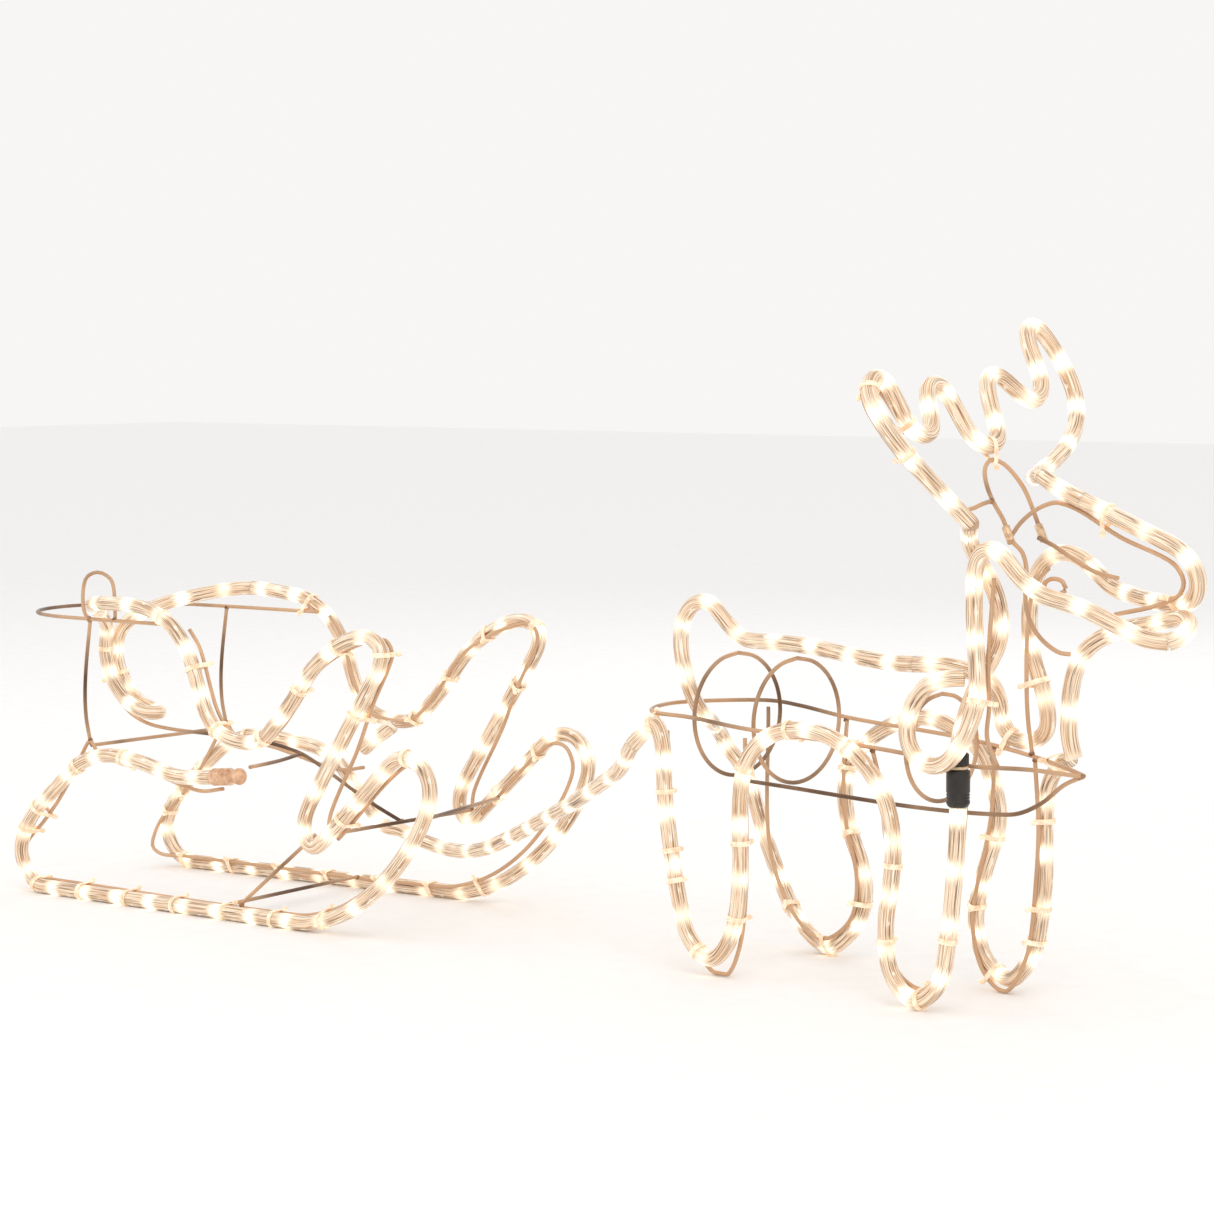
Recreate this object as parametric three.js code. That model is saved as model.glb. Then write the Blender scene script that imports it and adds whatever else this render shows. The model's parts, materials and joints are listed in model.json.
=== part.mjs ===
// A light-up yard reindeer that pulls a sleigh: one run of rope light, clipped to a frame of bent wire.
// Millimetres, +Z up, X along the sleigh towards the reindeer's nose.
// The origin is at the bottom centre of the box.
import * as THREE from "three";

// The rope and the wire, which every fit follows from.
const ROPE = 13; // rope light, across its corners
const WIRE = 3.2; // frame wire, across its corners
const GAP = 0.3; // clearance between pieces that touch
const WELD = 0.5; // space between a wire's end and the side of the wire it is welded to

// The sleigh. Its side outline is drawn for a sleigh 512 long and 270 high.
const SLEIGH_LENGTH = 512;
const SLEIGH_HEIGHT = 270;
const SLEIGH_HALF_WIDTH = 95.4; // centre line to rope centre, at the rear
const SLEIGH_SPLAY = 0.026; // the sides spread by this much for each millimetre forward
const RIM_HEIGHT = 254;
const RIM_OVERHANG = 25; // how far the rim hoop stands out behind the runners

// The reindeer. Its outline is drawn for a body 418 long and 368 high to the antler sockets.
const REINDEER_LENGTH = 418;
const REINDEER_HEIGHT = 368;
const REINDEER_SPACING = 270.6; // from the sleigh's nose to the reindeer's own origin
const REINDEER_PLACE = new THREE.Vector2(SLEIGH_LENGTH + REINDEER_SPACING, -0.7);
const REINDEER_TURN = THREE.MathUtils.degToRad(-9.5);
const LEG_HALF_WIDTH = 70; // centre line to the rope centre of a leg panel, at the rear leg
const LEG_TAPER = 0.078; // the leg panels close in by this much for each millimetre forward

// The antlers.
const ANTLER_LEAN = THREE.MathUtils.degToRad(26);
const ANTLER_HEIGHT = 168; // highest point above the sockets, along the lean
const SOCKET_NEAR = -22; // where the two frame prongs stand, either side of the centre line
const SOCKET_FAR = 16;
const SOCKET_LENGTH = 14;
const SOCKET_WALL = 1.2;
const PRONG_DEPTH = 11; // how far a prong reaches into its socket

// The fittings.
const CAP_LENGTH = 38;
const CAP_DIAMETER = 15.5;
const CONNECTOR_X = 238; // along the reindeer's outline
const CONNECTOR_FOOT = 158; // its height on the outline
const CONNECTOR_DIAMETER = 18;
const CONNECTOR_LENGTH = 28;
const SEAL_DIAMETER = 15.6;
const SEAL_LENGTH = 2.6;
const NUT_DIAMETER = 16;
const NUT_LENGTH = 10;
const CLIP_WIDTH = 4;
const CLIP_WALL = 1.1;
const CLIP_KNOB = 6;

// Worked out from the sizes above.
const ROPE_SIDES = 8;
const WIRE_SIDES = 6;
const ROPE_SEAT = (ROPE / 2) * Math.cos(Math.PI / ROPE_SIDES); // rope centre over the ground it lies on
const WIRE_SEAT = WIRE / 2;
const BEHIND = ROPE / 2 + WIRE / 2 + GAP; // from a rope's centre to a wire that backs it
const WELD_TRIM = WIRE / 2 + WELD; // from a wire's centre to the end of one welded to it
const CROSSING = WIRE + GAP; // between the centres of two wires that cross
const SOCKET_BORE = WIRE / 2 + GAP;
const BESIDE_SOCKET = SOCKET_BORE + SOCKET_WALL + GAP + WIRE / 2; // to a wire that ends at its side
const MOST_SAG = 1; // a tube's straight links stay this close to its centre line
const MOST_TURN = THREE.MathUtils.degToRad(36);
const WALK_STEPS = 12; // for each point that a curve is drawn through

const UP = new THREE.Vector3(0, 0, 1);
const model = new THREE.Group();
const curves = new Map(); // each tube's centre line by name, for the clips

// ---------------------------------------------------------------- places

function at(x, y, z) {
  return new THREE.Vector3(x, y, z);
}

/** A point of the sleigh, with x and z as drawn on its side outline. */
function sleigh(x, y, z) {
  return at((x * SLEIGH_LENGTH) / 512, y, (z * SLEIGH_HEIGHT) / 270);
}

/** Points [x, z] of the sleigh's side outline, put on one side. side is -1 near and 1 far. */
function sleighSide(side, outline, inward = 0) {
  return outline.map(([x, z]) => {
    const point = sleigh(x, 0, z);
    point.y = side * (SLEIGH_HALF_WIDTH + SLEIGH_SPLAY * point.x - inward);
    return point;
  });
}

function sleighSideNormal(side) {
  return at(-side * SLEIGH_SPLAY, 1, 0).normalize();
}

/** Turns a point of the reindeer's own frame to the whole part's. */
function placeReindeer(point) {
  point.applyAxisAngle(UP, REINDEER_TURN);
  point.x += REINDEER_PLACE.x;
  point.y += REINDEER_PLACE.y;
  return point;
}

/** A point of the reindeer, with x and z as drawn on its outline. */
function reindeer(x, y, z) {
  return placeReindeer(at((x * REINDEER_LENGTH) / 418, y, (z * REINDEER_HEIGHT) / 368));
}

function reindeerPoints(points) {
  return points.map(([x, y, z]) => reindeer(x, y, z));
}

/** Points [x, z] at one distance from the reindeer's centre line. */
function reindeerAt(y, outline) {
  return outline.map(([x, z]) => reindeer(x, y, z));
}

/** How far a leg panel's rope stands from the centre line at x. */
function legHalfWidth(x) {
  return LEG_HALF_WIDTH - (LEG_TAPER * x * REINDEER_LENGTH) / 418;
}

function legSide(side, outline, inward = 0) {
  return outline.map(([x, z]) => reindeer(x, side * (legHalfWidth(x) - inward), z));
}

function legSideNormal(side) {
  return at(side * LEG_TAPER, 1, 0).normalize().applyAxisAngle(UP, REINDEER_TURN);
}

/** A point [y, height] of the antlers' leaning plane. */
function antler([y, height]) {
  const along = (height * ANTLER_HEIGHT) / 168;
  const socket = reindeer(257, y, 368);
  const back = at(-Math.sin(ANTLER_LEAN) * along, 0, Math.cos(ANTLER_LEAN) * along);
  return socket.add(back.applyAxisAngle(UP, REINDEER_TURN));
}

function antlerNormal() {
  return at(-Math.cos(ANTLER_LEAN), 0, -Math.sin(ANTLER_LEAN)).applyAxisAngle(UP, REINDEER_TURN);
}

function antlerDirection() {
  return at(-Math.sin(ANTLER_LEAN), 0, Math.cos(ANTLER_LEAN)).applyAxisAngle(UP, REINDEER_TURN);
}

// ---------------------------------------------------------------- tubes

/** A centre line held as stations, the places where a tube's section is put. */
class Route extends THREE.Curve {
  constructor(stations, across) {
    super();
    this.stations = stations;
    this.across = across;
  }

  getSpacedPoints() {
    return this.stations.map((station) => station.point);
  }

  /** The section points across at the middle station, and turns as little as it can from there. */
  computeFrenetFrames() {
    const tangents = this.stations.map((station) => station.tangent);
    const normals = [];
    const middle = Math.floor(tangents.length / 2);
    const settle = (i, from) => {
      normals[i] = from.clone().addScaledVector(tangents[i], -from.dot(tangents[i])).normalize();
    };
    settle(middle, this.across);
    for (let i = middle + 1; i < tangents.length; i += 1) settle(i, normals[i - 1]);
    for (let i = middle - 1; i >= 0; i -= 1) settle(i, normals[i + 1]);
    const binormals = tangents.map((tangent, i) => tangent.clone().cross(normals[i]));
    return { tangents, normals, binormals };
  }
}

/** Points and directions close together along part of a curve, none lower than the seat. */
function walk(curve, from, to, seat) {
  const steps = Math.ceil((to - from) * curve.points.length * WALK_STEPS);
  const places = [];
  let travelled = 0;
  for (let i = 0; i <= steps; i += 1) {
    const t = from + ((to - from) * i) / steps;
    const point = curve.getPoint(t);
    const tangent = curve.getTangent(t);
    if (point.z < seat) {
      point.z = seat;
      tangent.setZ(0).normalize();
    }
    if (i > 0) travelled += point.distanceTo(places[i - 1].point);
    places.push({ point, tangent, travelled });
  }
  return places;
}

/** Takes a length off each end of a walk. */
function trim(places, start, end) {
  const whole = places[places.length - 1].travelled;
  const inside = places.filter((p) => p.travelled > start + 0.5 && p.travelled < whole - end - 0.5);
  return [placeAt(places, start), ...inside, placeAt(places, whole - end)];
}

function placeAt(places, travelled) {
  const next = Math.max(1, places.findIndex((place) => place.travelled >= travelled - 1e-6));
  const a = places[next - 1];
  const b = places[next];
  const share = (travelled - a.travelled) / (b.travelled - a.travelled);
  const point = a.point.clone().lerp(b.point, share);
  const tangent = a.tangent.clone().lerp(b.tangent, share).normalize();
  return { point, tangent, travelled };
}

/** Keeps the ends, and the places between them that the curve's bends need. */
function pickStations(places) {
  const first = places[0];
  const last = places[places.length - 1];
  const chord = new THREE.Line3(first.point, last.point);
  const foot = at(0, 0, 0);
  let farthest = 0;
  let sag = 0;
  places.forEach((place, i) => {
    const distance = chord.closestPointToPoint(place.point, true, foot).distanceTo(place.point);
    if (distance > sag) {
      sag = distance;
      farthest = i;
    }
  });
  const turned = Math.max(...places.map((place) => place.tangent.angleTo(first.tangent)));
  if (farthest === 0 || (sag < MOST_SAG && turned < MOST_TURN)) return [first, last];
  const before = pickStations(places.slice(0, farthest + 1));
  return [...before.slice(0, -1), ...pickStations(places.slice(farthest))];
}

/** A regular polygon with a flat side facing each axis. */
function section(diameter, sides) {
  const corners = [];
  for (let i = 0; i < sides; i += 1) {
    const angle = (2 * Math.PI * (i + 0.5)) / sides;
    corners.push(new THREE.Vector2(Math.cos(angle), Math.sin(angle)).multiplyScalar(diameter / 2));
  }
  return new THREE.Shape(corners);
}

function addMesh(name, geometry, material) {
  const mesh = new THREE.Mesh(geometry, material);
  mesh.name = name;
  model.add(mesh);
  return mesh;
}

function addTube(name, places, across, shape, material) {
  const stations = pickStations(places);
  const route = new Route(stations, across);
  const options = { steps: stations.length - 1, extrudePath: route };
  curves.set(name, stations);
  return addMesh(name, new THREE.ExtrudeGeometry(shape, options), material);
}

/** One rope cut into named runs, each starting where the one before it ended. */
function addRope(runs) {
  const points = runs.flatMap((run) => run.points);
  const curve = new THREE.CatmullRomCurve3(points, false, "centripetal");
  const spans = points.length - 1;
  let first = 0;
  let drawn = 0;
  for (const run of runs) {
    drawn += run.points.length;
    const last = drawn - 1;
    const places = walk(curve, first / spans, last / spans, ROPE_SEAT);
    const ends = trim(places, GAP / 2, GAP / 2);
    const shape = section(ROPE, ROPE_SIDES);
    addTube(run.name, ends, run.across, shape, ropePvc());
    first = last;
  }
}

/** A wire. start and end are the lengths taken off where it is welded to another. */
function addWire(name, points, across, { start = WELD_TRIM, end = WELD_TRIM } = {}) {
  const curve = new THREE.CatmullRomCurve3(points, false, "centripetal");
  const places = trim(walk(curve, 0, 1, WIRE_SEAT), start, end);
  const shape = section(WIRE, WIRE_SIDES);
  return addTube(name, places, across, shape, frameWire());
}

// ---------------------------------------------------------------- materials

function ropePvc() {
  return new THREE.MeshStandardMaterial({ color: 0xf6e3c4, roughness: 0.2, metalness: 0 });
}

function frameWire() {
  return new THREE.MeshStandardMaterial({ color: 0xd9c3a0, roughness: 0.45, metalness: 0.1 });
}

function clipPlastic() {
  return new THREE.MeshStandardMaterial({ color: 0xf3e6cf, roughness: 0.35, metalness: 0 });
}

function capPlastic() {
  return new THREE.MeshStandardMaterial({ color: 0xe0a878, roughness: 0.4, metalness: 0 });
}

function connectorPlastic() {
  return new THREE.MeshStandardMaterial({ color: 0x17110d, roughness: 0.5, metalness: 0 });
}

function sealRubber() {
  return new THREE.MeshStandardMaterial({ color: 0xdcc39c, roughness: 0.6, metalness: 0 });
}

function socketSteel() {
  return new THREE.MeshStandardMaterial({ color: 0xc9b28c, roughness: 0.4, metalness: 0.6 });
}

// ---------------------------------------------------------------- the sleigh's outline

// From the end cap back along the deck, round the rear, along the ground and up to the curled tail.
const RUNNER = [
  [258, 124], [215, 121], [170, 130], [125, 133], [92, 124], [60, 99], [30, 75], [14, 52],
  [10, 34], [20, 15], [36, 5], [60, 5], [90, 5], [330, 5], [360, 5], [410, 18],
  [455, 47], [484, 77], [504, 108], [511, 134], [500, 154], [478, 158], [452, 138],
  [425, 112],
];
// From the tail down to the seat's edge, up to the dash tip, down to the seat and up the back.
const DASH = [
  [398, 88], [378, 71], [367, 82], [369, 100], [384, 126], [413, 170], [437, 206], [455, 232],
  [458, 248],
  [440, 257], [415, 251], [380, 228], [348, 190], [318, 161], [298, 157], [262, 166],
  [247, 187], [232, 226], [212, 252], [185, 266], [150, 270], [122, 270],
];
// The wire inside a runner: from the cap along the deck, up to the upright's foot, then round.
const RUNNER_WIRE = [
  [262, 113], [235, 109], [190, 117], [150, 125], [118, 129], [104, 134], [95, 143], [85, 132],
  [60, 95], [33, 65], [12, 46], [2, 30], [-1, 18], [8, 11.5], [42, 11.5], [60, 11.5], [330, 11.5],
  [360, 11.5], [404, 24], [443, 49], [474, 82], [494, 112], [500, 133], [492, 148], [478, 150],
  [456, 133], [429, 107], [398, 80],
];
// The wire behind a dash: from the seat cross wire up to the tip, down to the seat, up to the rim.
const DASH_WIRE = [
  [388, 84], [390, 100], [405, 128], [425, 165], [438, 195], [452, 222], [462, 243], [455, 254],
  [435, 252], [410, 243], [378, 224], [350, 190], [322, 163], [298, 159], [270, 166], [255, 185],
  [245, 212], [234, 238], [222, 252],
];
const UPRIGHT_FOOT = [95, 143];
const SEAT_WIRE = [388, 84];

const SIDES = [
  { side: -1, word: "near" },
  { side: 1, word: "far" },
];

function sleighRopes() {
  const near = sleighSideNormal(-1);
  const far = sleighSideNormal(1);
  const rearward = (outline) => [...outline].reverse();
  // Both halves of the back's tongue lie side by side on the centre line.
  const tongue = ROPE / 2 + GAP + 0.2;
  const halfWidth = SLEIGH_HALF_WIDTH;
  // They open a little at the tip, for the rope to turn back without a kink.
  const bend = tongue + 2;
  const tip = sleigh(86, 0, 161);
  const scroll = [
    sleigh(96, -(halfWidth - 8), 267),
    sleigh(74, -(halfWidth - 32), 261),
    sleigh(52, -30, 252),
    sleigh(38, -tongue - 3, 236),
    sleigh(33, -tongue, 214),
    sleigh(42, -tongue, 188),
    sleigh(60, -tongue, 170),
    sleigh(74, -bend, 164),
    tip.clone().add(at(0, -bend, 0)),
    tip.clone().add(at(bend * Math.SQRT1_2, -bend * Math.SQRT1_2, 0)),
    tip.clone().add(at(bend, 0, 0)),
    tip.clone().add(at(bend * Math.SQRT1_2, bend * Math.SQRT1_2, 0)),
    tip.clone().add(at(0, bend, 0)),
    sleigh(74, bend, 164),
    sleigh(60, tongue, 170),
    sleigh(42, tongue, 188),
    sleigh(33, tongue, 214),
    sleigh(39, tongue + 3, 238),
    sleigh(55, 31, 254),
    sleigh(77, halfWidth - 32, 264),
    sleigh(98, halfWidth - 8, 270),
    sleighSide(1, [[122, 272]])[0],
  ];
  addRope([
    { name: "near_runner_rope", points: sleighSide(-1, RUNNER), across: near },
    { name: "near_dash_rope", points: sleighSide(-1, DASH), across: near },
    { name: "back_scroll_rope", points: scroll, across: at(1, 0, 0) },
    { name: "far_dash_rope", points: sleighSide(1, rearward(DASH).slice(1)), across: far },
    { name: "far_runner_rope", points: sleighSide(1, rearward(RUNNER).slice(0, -1)), across: far },
    { name: "lead_cord", points: leadPoints(), across: UP },
    { name: "near_leg_rope", points: nearLegPoints(), across: legSideNormal(-1) },
  ]);
  addRope([
    {
      name: "seat_tail_rope",
      points: [sleigh(333, 52, 160), sleigh(322, 52, 153), sleigh(311, 51, 145), sleigh(300, 50, 137)],
      across: at(0, 1, 0),
    },
  ]);
}

function sleighSideWires() {
  for (const { side, word } of SIDES) {
    const across = sleighSideNormal(side);
    const foot = sleighSide(side, [UPRIGHT_FOOT], BEHIND)[0];
    const rim = rimPoint(97, side);
    const upright = [
      rim,
      ...sleighSide(side, [[93, 226], [89, 190], [90, 164]], BEHIND),
      foot,
    ];
    addWire(word + "_runner_wire", sleighSide(side, RUNNER_WIRE, BEHIND), across, { start: 0 });
    addWire(word + "_dash_wire", sleighSide(side, DASH_WIRE, BEHIND), across);
    addWire(word + "_upright_wire", upright, across);
  }
}

/** A point of the rim's straight side. */
function rimPoint(x, side) {
  const point = sleighSide(side, [[x, 0]], BEHIND)[0];
  point.z = RIM_HEIGHT;
  return point;
}

function sleighFrame() {
  const sideways = at(1, 0, 0);
  const footNear = sleighSide(-1, [UPRIGHT_FOOT], BEHIND)[0];
  const footFar = sleighSide(1, [UPRIGHT_FOOT], BEHIND)[0];
  const seatNear = sleighSide(-1, [SEAT_WIRE], BEHIND)[0];
  const seatFar = sleighSide(1, [SEAT_WIRE], BEHIND)[0];
  const below = at(0, 0, -CROSSING - WELD);

  // The hoop's rear is a half circle between its two straight sides.
  const rearRadius = -rimPoint(35, -1).y;
  const rearCentre = rearRadius - RIM_OVERHANG;
  const hoop = [rimPoint(208, -1), rimPoint(150, -1), rimPoint(97, -1), rimPoint(62, -1)];
  for (let angle = 100; angle <= 260; angle += 20) {
    const turn = THREE.MathUtils.degToRad(angle);
    hoop.push(at(rearCentre + rearRadius * Math.cos(turn), -rearRadius * Math.sin(turn), RIM_HEIGHT));
  }
  hoop.push(rimPoint(62, 1), rimPoint(97, 1), rimPoint(150, 1), rimPoint(208, 1));
  addWire("rim_hoop_wire", hoop, UP, { start: 0, end: 0 });

  addWire("base_cross_wire", [footNear, footFar].map((p) => p.add(below)), sideways);
  addWire("seat_cross_wire", [seatNear, seatFar], sideways);

  const spine = [
    sleigh(26, 0, 222), sleigh(27, 0, 205), sleigh(34, 0, 184), sleigh(55, 0, 160),
    sleigh(80, 0, 150), sleigh(105, 0, 147), sleigh(158, 0, 143), sleigh(221, 0, 139),
    sleigh(265, 0, 137), sleigh(304, 0, 121), sleigh(350, 0, 99), sleigh(388, 0, 84),
  ];
  addWire("seat_centre_wire", spine, at(0, 1, 0), { start: 0 });

  const braceFoot = sleighSide(-1, [[281, 11.5]], BEHIND)[0];
  const braceTop = sleighSide(-1, [[372, 82]], BEHIND)[0];
  const braceMiddle = braceFoot.clone().lerp(braceTop, 0.5);
  const brace = [braceFoot, braceMiddle, braceTop];
  addWire("near_brace_wire", brace, sleighSideNormal(-1), { start: 2 * WELD_TRIM, end: 0 });

  const floor = [sleighSide(-1, [[268, 11.5]], BEHIND)[0], sleighSide(1, [[255, 11.5]], BEHIND)[0]];
  addWire("floor_cross_wire", floor, sideways);

  const tail = [sleighSide(1, [[418, 97]], BEHIND)[0], sleighSide(-1, [[489, 104]], BEHIND)[0]];
  addWire("tail_cross_wire", tail, sideways);

  const capWire = [sleigh(291, -SLEIGH_HALF_WIDTH + 6, 134), sleigh(282, -45, 134), sleigh(269, 0, 135)];
  addWire("cap_wire", capWire, sideways, { start: 0 });

  // The hook stands over the rope: its rear leg comes out level with it, its front leg stays inside.
  const outside = WELD;
  const between = BEHIND / 2;
  const hook = [
    rimPoint(97, -1),
    ...sleighSide(-1, [[97, 256]], between),
    ...sleighSide(-1, [[97, 262], [97, 284], [102, 293]], outside),
    ...sleighSide(-1, [[113, 297]], between),
    ...sleighSide(-1, [[124, 291], [128, 280], [129, 268]], BEHIND),
    rimPoint(129, -1),
  ];
  addWire("back_hook_wire", hook, sleighSideNormal(-1));
}

/** The rope's closed end: a ridged sleeve with a rounded tip. */
function endCap() {
  const radius = CAP_DIAMETER / 2;
  const groove = radius - 0.8;
  const tip = radius - 3;
  const ridges = 5;
  const pitch = (CAP_LENGTH * 0.6) / ridges;
  const profile = [[0, 0], [groove, 0]];
  for (let i = 0; i < ridges; i += 1) {
    profile.push([radius, pitch * (i + 0.3)]);
    profile.push([radius, pitch * (i + 0.6)]);
    profile.push([groove, pitch * (i + 0.8)]);
  }
  profile.push([groove, CAP_LENGTH * 0.85], [tip, CAP_LENGTH], [0, CAP_LENGTH]);
  const points = profile.map(([r, length]) => new THREE.Vector2(r, length));
  const start = curves.get("near_runner_rope")[0];
  const cap = addMesh("rope_end_cap", new THREE.LatheGeometry(points, 16), capPlastic());
  aim(cap, start.point.clone().addScaledVector(start.tangent, -GAP), start.tangent.clone().negate());
}

/** Puts a mesh that was made along +Y at a place, pointing in a direction. */
function aim(mesh, place, direction) {
  mesh.quaternion.setFromUnitVectors(at(0, 1, 0), direction);
  mesh.position.copy(place);
}

// ---------------------------------------------------------------- the lead between the two

function leadPoints() {
  return [
    sleighSide(1, [[280, 60]])[0],
    sleigh(298, 104, 57),
    sleigh(333, 103, 48),
    sleigh(376, 93, 46),
    sleigh(415, 80, 53),
    sleigh(460, 60, 69),
    at(SLEIGH_LENGTH + 8, 30, 93),
    at(SLEIGH_LENGTH + 68, 0, 118),
    at(SLEIGH_LENGTH + 108, -20, 137),
    at(SLEIGH_LENGTH + 144, -40, 155),
    reindeer(-85.2, -76.4, 180),
  ];
}

// ---------------------------------------------------------------- the reindeer

const NEAR_LEGS = [
  [-70, 193], [-62, 199], [-55, 188], [-51, 137], [-37, 62], [-25, 27], [-2, 13], [18, 34],
  [27, 81], [27, 144], [34, 177], [57, 198], [97, 205], [136, 193], [166, 165], [176, 138],
  [178, 112], [171, 57], [177, 23], [197, 5], [202, 5], [222, 22], [231, 65], [236, 120],
];
const FAR_LEGS = [
  [-110, 143], [-78, 78], [-42, 24], [-8, 5], [-2, 5], [32, 34], [38, 67], [20, 106], [13, 139],
  [21, 164], [54, 190], [100, 206], [134, 202], [167, 186], [184, 156], [189, 133], [174, 92],
  [164, 51], [176, 20], [199, 9], [205, 9], [228, 36], [238, 92], [238, 140],
];

function nearLegPoints() {
  const straight = [[CONNECTOR_X, CONNECTOR_FOOT - 12], [CONNECTOR_X, CONNECTOR_FOOT]];
  return legSide(-1, [...NEAR_LEGS, ...straight]);
}

/** Tail and back, from the spine's front round the tail to the far rear leg. */
function bodyRopes() {
  const tail = reindeerAt(0, [
    [150, 256], [134, 255], [81, 258], [27, 263], [-36, 264], [-57, 277], [-74, 292], [-95, 288],
    [-108, 266], [-101, 226],
  ]);
  const rump = reindeerPoints([
    [-98, 14, 198], [-106, 34, 188], [-122, 54, 182], [-136, 74, 174], [-130, 79, 160],
  ]);
  const chest = reindeerPoints([[243, 49, 166], [254, 44, 179], [266, 37, 187], [279, 30, 191]]);
  const neck = reindeerPoints([
    [185, 6, 256], [203, 24, 246], [201, 40, 228], [196, 48, 212], [204, 50, 200], [220, 50, 197],
    [235, 49, 202], [243, 48, 211], [241, 48, 228], [234, 48, 246], [226, 48, 266], [223, 48, 293],
    [226, 48, 317], [234, 48, 334], [248, 47, 344], [266, 46, 345], [283, 45, 338],
  ]);
  const head = reindeerPoints([
    [298, 44, 327], [311, 42, 320], [328, 38, 318], [347, 30, 316], [367, 22, 316], [390, 13, 315],
    [408, 6, 319], [418, 1, 331], [414, 0, 345], [399, 0, 357], [374, 0, 367], [341, 0, 379],
    [307, 0, 390], [287, 0, 398], [272, 2, 405],
  ]);
  const farLegs = [...chest.reverse(), ...legSide(1, [...FAR_LEGS].reverse())];
  addRope([
    { name: "far_leg_rope", points: farLegs, across: legSideNormal(1) },
    { name: "spine_rope", points: [...rump.reverse(), ...tail.reverse()], across: at(0, 1, 0) },
    { name: "far_neck_rope", points: neck, across: UP },
    { name: "head_rope", points: head, across: UP },
    { name: "antler_rope", points: ANTLER.map(antler), across: antlerNormal() },
    { name: "neck_feed_rope", points: feedPoints(), across: at(0, 1, 0) },
  ]);
}

/** From the antlers' near foot down the neck to the connector. */
function feedPoints() {
  return reindeerPoints([
    [247, -52, 366], [239, -42, 357], [239, -35, 346], [246, -31, 334], [259, -32, 312], [263, -33, 294],
    [261, -34, 280], [254, -35, 268], [248, -37, 256], [243, -40, 244], [240, -44, 230],
    [239, -48, 218], [CONNECTOR_X, -legHalfWidth(CONNECTOR_X), feedFoot() + 7],
    [CONNECTOR_X, -legHalfWidth(CONNECTOR_X), feedFoot()],
  ]);
}

/** The height, as drawn on the outline, at which the rope leaves the connector's nut. */
function feedFoot() {
  const stack = CONNECTOR_LENGTH + SEAL_LENGTH + NUT_LENGTH + 5 * GAP;
  return CONNECTOR_FOOT + (stack * 368) / REINDEER_HEIGHT;
}

/** Shoulder ring, near side of the neck, brow, jaw and throat. */
function faceRopes() {
  const shoulder = reindeerPoints([
    [247, -56, 256], [240, -64, 256], [228, -67, 253], [216, -67, 246], [204, -67, 230],
    [200, -67, 211], [206, -67, 197], [219, -67, 189], [237, -67, 191], [248, -67, 200],
    [258, -66, 217], [265, -63, 238], [262, -58, 260], [256, -54, 282], [252, -51, 302],
    [250, -49, 322],
  ]);
  const jaw = reindeerPoints([
    [250, -48, 338], [255, -48, 349], [264, -48, 354], [274, -48, 350], [284, -48, 341],
    [297, -47, 329], [315, -46, 320], [343, -42, 314], [368, -36, 303], [392, -29, 293], [408, -21, 291],
  ]);
  const throat = reindeerPoints([
    [418, -14, 296], [419, -9, 304], [409, -5, 308], [394, -2, 305], [378, 0, 301], [361, 0, 298],
    [347, 0, 294], [333, 0, 289], [320, 0, 281], [311, 0, 271], [305, 0, 257], [302, 0, 240],
    [301, 0, 220], [303, 0, 206], [307, 0, 196],
  ]);
  addRope([
    { name: "shoulder_ring_rope", points: shoulder, across: at(0, 1, 0) },
    { name: "near_jaw_rope", points: jaw, across: at(0, 1, 0) },
    { name: "throat_rope", points: throat, across: at(0, 1, 0) },
  ]);
}

// ---------------------------------------------------------------- the antlers

// Points [y, height] in the leaning plane, from the far foot over the four tips to the near foot.
const ANTLER = [
  [31, 38], [52, 47], [80, 61], [103, 80], [116, 105], [115, 130], [108, 153], [99, 166],
  [86, 163], [82, 146], [82, 123], [76, 108], [59, 101], [46, 112], [34, 124], [20, 124],
  [13, 110], [11, 90], [6, 70], [-9, 64], [-23, 72], [-29, 89], [-33, 106], [-40, 118],
  [-53, 115], [-60, 99], [-64, 82], [-75, 74], [-90, 83], [-94, 104], [-98, 121], [-109, 124],
  [-121, 110], [-116, 86], [-103, 60], [-83, 34], [-71, 16], [-60, 4],
];

function antlerFrame() {
  const behind = antlerNormal().multiplyScalar(BEHIND);
  // The branch starts at the near prong, passes behind the rope and follows it to the tip.
  const outline = [
    [-66, 21], [-80, 36], [-99, 58], [-113, 84], [-119, 108], [-110, 121], [-100, 118], [-92, 98],
    [-86, 82],
  ];
  const branch = [
    antler([-26, 21]),
    antler([-38, 19]),
    antler([-50, 17]).addScaledVector(behind, 0.6),
  ];
  branch.push(...outline.map((point) => antler(point).add(behind)));
  addWire("antler_branch_wire", branch, antlerNormal(), { end: 0 });

  const prongs = [
    [SOCKET_NEAR, -PRONG_DEPTH], [SOCKET_NEAR, 6], [-26, 20], [-26, 37], [-21, 48], [-10, 54],
    [2, 50], [9, 41], [15, 28], [SOCKET_FAR, 6], [SOCKET_FAR, -PRONG_DEPTH],
  ];
  addWire("antler_prong_wire", prongs.map(antler), antlerNormal(), { start: 0, end: 0 });
}

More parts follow.
